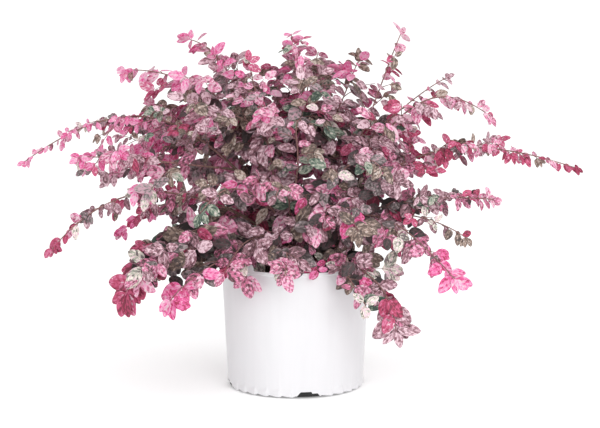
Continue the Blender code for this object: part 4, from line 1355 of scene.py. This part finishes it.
class PLANT_OT_limbs(bpy.types.Operator):
    """Stem and boughs with the relief of their bark"""

    bl_idname = "plant.make_limbs"
    bl_label = "Stem and boughs"

    def execute(self, context):
        settings = context.scene.plant_looks
        heap = MeshHeap()
        stem, shoots = make_shoots()
        shares = [(k / STEM_FINE_RINGS) ** STEM_CROWDING for k in range(STEM_FINE_RINGS + 1)]
        corners, faces = tube([stem.point(s) for s in shares], [stem.radius(s) for s in shares],
                              STEM_FINE_SIDES, STEM_RELIEF, STEM_GRAIN)
        for corner in corners[:STEM_FINE_SIDES]:
            corner.z = STEM_LOW.z
        heap.add(corners, faces)
        nodes = ["stem"]
        for shoot in shoots:
            if shoot.name in WITHOUT_BOUGH:
                continue
            points, radii = shoot.stretch(0.0, shoot.bough_end, BOUGH_FINE_SPAN)
            swollen = [r * (1 + JOINT_SWELL * (k % JOINT_EVERY == 0)) for k, r in enumerate(radii)]
            heap.add(*tube(points, swollen, settings.limb_sides, BOUGH_RELIEF, BOUGH_GRAIN))
            nodes.append("bough_" + shoot.name)
        piece = heap.piece("stem_and_boughs", [bark_finish("stem_bark", tuple(settings.bark))])
        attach(piece, "root")
        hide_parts(*nodes)
        return {"FINISHED"}


def leaf_finish(name, colour):
    finish = Finish("leaf_" + name, colour, 0.55)
    veins = finish.noise(scale=420.0, roughness=0.6)
    finish.set("Roughness", finish.spread(veins, 0.3, 0.7, 0.46, 0.66))
    finish.bump(veins, 0.35, 0.0005)
    return finish


def still_solids():
    """The pot, the mix and the stem, which no leaf may cut."""
    points = []
    faces = []
    for node in ("pot", "potting_mix", "stem"):
        mesh = frame["nodes"][node].data
        start = len(points)
        points.extend(vert.co.copy() for vert in mesh.vertices)
        faces.extend(tuple(c + start for c in face.vertices) for face in mesh.polygons)
    return BVHTree.FromPolygons(points, faces)


class PLANT_OT_foliage(bpy.types.Operator):
    """Twigs and variegated leaves that grow on from the boughs"""

    bl_idname = "plant.grow_foliage"
    bl_label = "Twigs and leaves"

    def execute(self, context):
        settings = context.scene.plant_looks
        _, shoots = make_shoots()
        space = OwnSpace(shoots)
        solids = still_solids()
        sprays = {}
        for shoot in shoots:
            sprays[shoot.name] = Spray(shoot, space, solids, settings)
            sprays[shoot.name].grow()
            sprays[shoot.name].thin()
        hidden = dict(zip(sprays, self.hidden_by_spray(sprays)))
        rng = random.Random(SEED)
        cuts = [(long, [LeafShape(bands, strips, rng) for _ in range(LEAF_SHAPES)])
                for long, bands, strips in LEAF_CUTS]
        plain = [LeafShape(*HIDDEN_CUT, rng) for _ in range(LEAF_SHAPES)]
        finishes = [leaf_finish(name, colour) for name, colour in LEAF_COLOURS.items()]
        for piece_name, names in LEAF_PIECES.items():
            heap = MeshHeap()
            for name in names:
                for leaf, behind in zip(sprays[name].leaves, hidden[name]):
                    shapes = next(made for long, made in cuts if leaf.length < long)
                    shape = rng.choice(plain if behind == 1.0 else shapes)
                    # Painted shade: a hidden leaf low and inside the crown may take the near-black
                    # tint
                    painted_shade = PAINTED_SHADE_CHANCE * behind**2 * (1 - risen(leaf.root))
                    painted_shade *= 1 - outness(leaf.root)
                    tint = "painted_shade" if rng.random() < painted_shade else leaf.tint
                    heap.add(shape.points(leaf, rng, settings.leaf_width), shape.faces,
                             shape.shades(rng, TINTS[tint], behind, leaf.root))
            piece = heap.piece(piece_name, finishes)
            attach(piece, "root")
            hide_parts(*("foliage_" + name for name in names))
        heap = MeshHeap()
        for spray in sprays.values():
            for points, radii in spray.twigs:
                heap.add(*tube(points, radii, TWIG_SIDES))
        piece = heap.piece("twigs", [bark_finish("young_bark", tuple(settings.young_bark))])
        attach(piece, "root")
        return {"FINISHED"}

    def hidden_by_spray(self, sprays):
        """For each spray, which of its leaves others hide."""
        flags = covered([leaf for spray in sprays.values() for leaf in spray.leaves])
        start = 0
        for spray in sprays.values():
            yield flags[start:start + len(spray.leaves)]
            start += len(spray.leaves)


class PLANT_PT_panel(bpy.types.Panel):
    """Lists the operators and the main settings"""

    bl_label = "Fringe flower"
    bl_idname = "PLANT_PT_panel"
    bl_space_type = "VIEW_3D"
    bl_region_type = "UI"
    bl_category = "Fringe flower"

    def draw(self, context):
        column = self.layout.column()
        for operator in OPERATORS:
            column.operator(operator.bl_idname)
        for group in (context.scene.plant_stage, context.scene.plant_pot, context.scene.plant_looks):
            for name in group.__annotations__:
                column.prop(group, name)


OPERATORS = (PLANT_OT_stage, PLANT_OT_pot, PLANT_OT_mix, PLANT_OT_limbs, PLANT_OT_foliage)
CLASSES = (StageSettings, PotSettings, PlantSettings, *OPERATORS, PLANT_PT_panel)


def register():
    for made in CLASSES:
        bpy.utils.register_class(made)
    bpy.types.Scene.plant_stage = PointerProperty(type=StageSettings)
    bpy.types.Scene.plant_pot = PointerProperty(type=PotSettings)
    bpy.types.Scene.plant_looks = PointerProperty(type=PlantSettings)


def unregister():
    del bpy.types.Scene.plant_looks
    del bpy.types.Scene.plant_pot
    del bpy.types.Scene.plant_stage
    for made in reversed(CLASSES):
        bpy.utils.unregister_class(made)


def main():
    register()
    bpy.ops.plant.make_stage()
    bpy.ops.plant.make_pot()
    bpy.ops.plant.make_mix()
    bpy.ops.plant.make_limbs()
    bpy.ops.plant.grow_foliage()


if __name__ == "__main__":
    main()
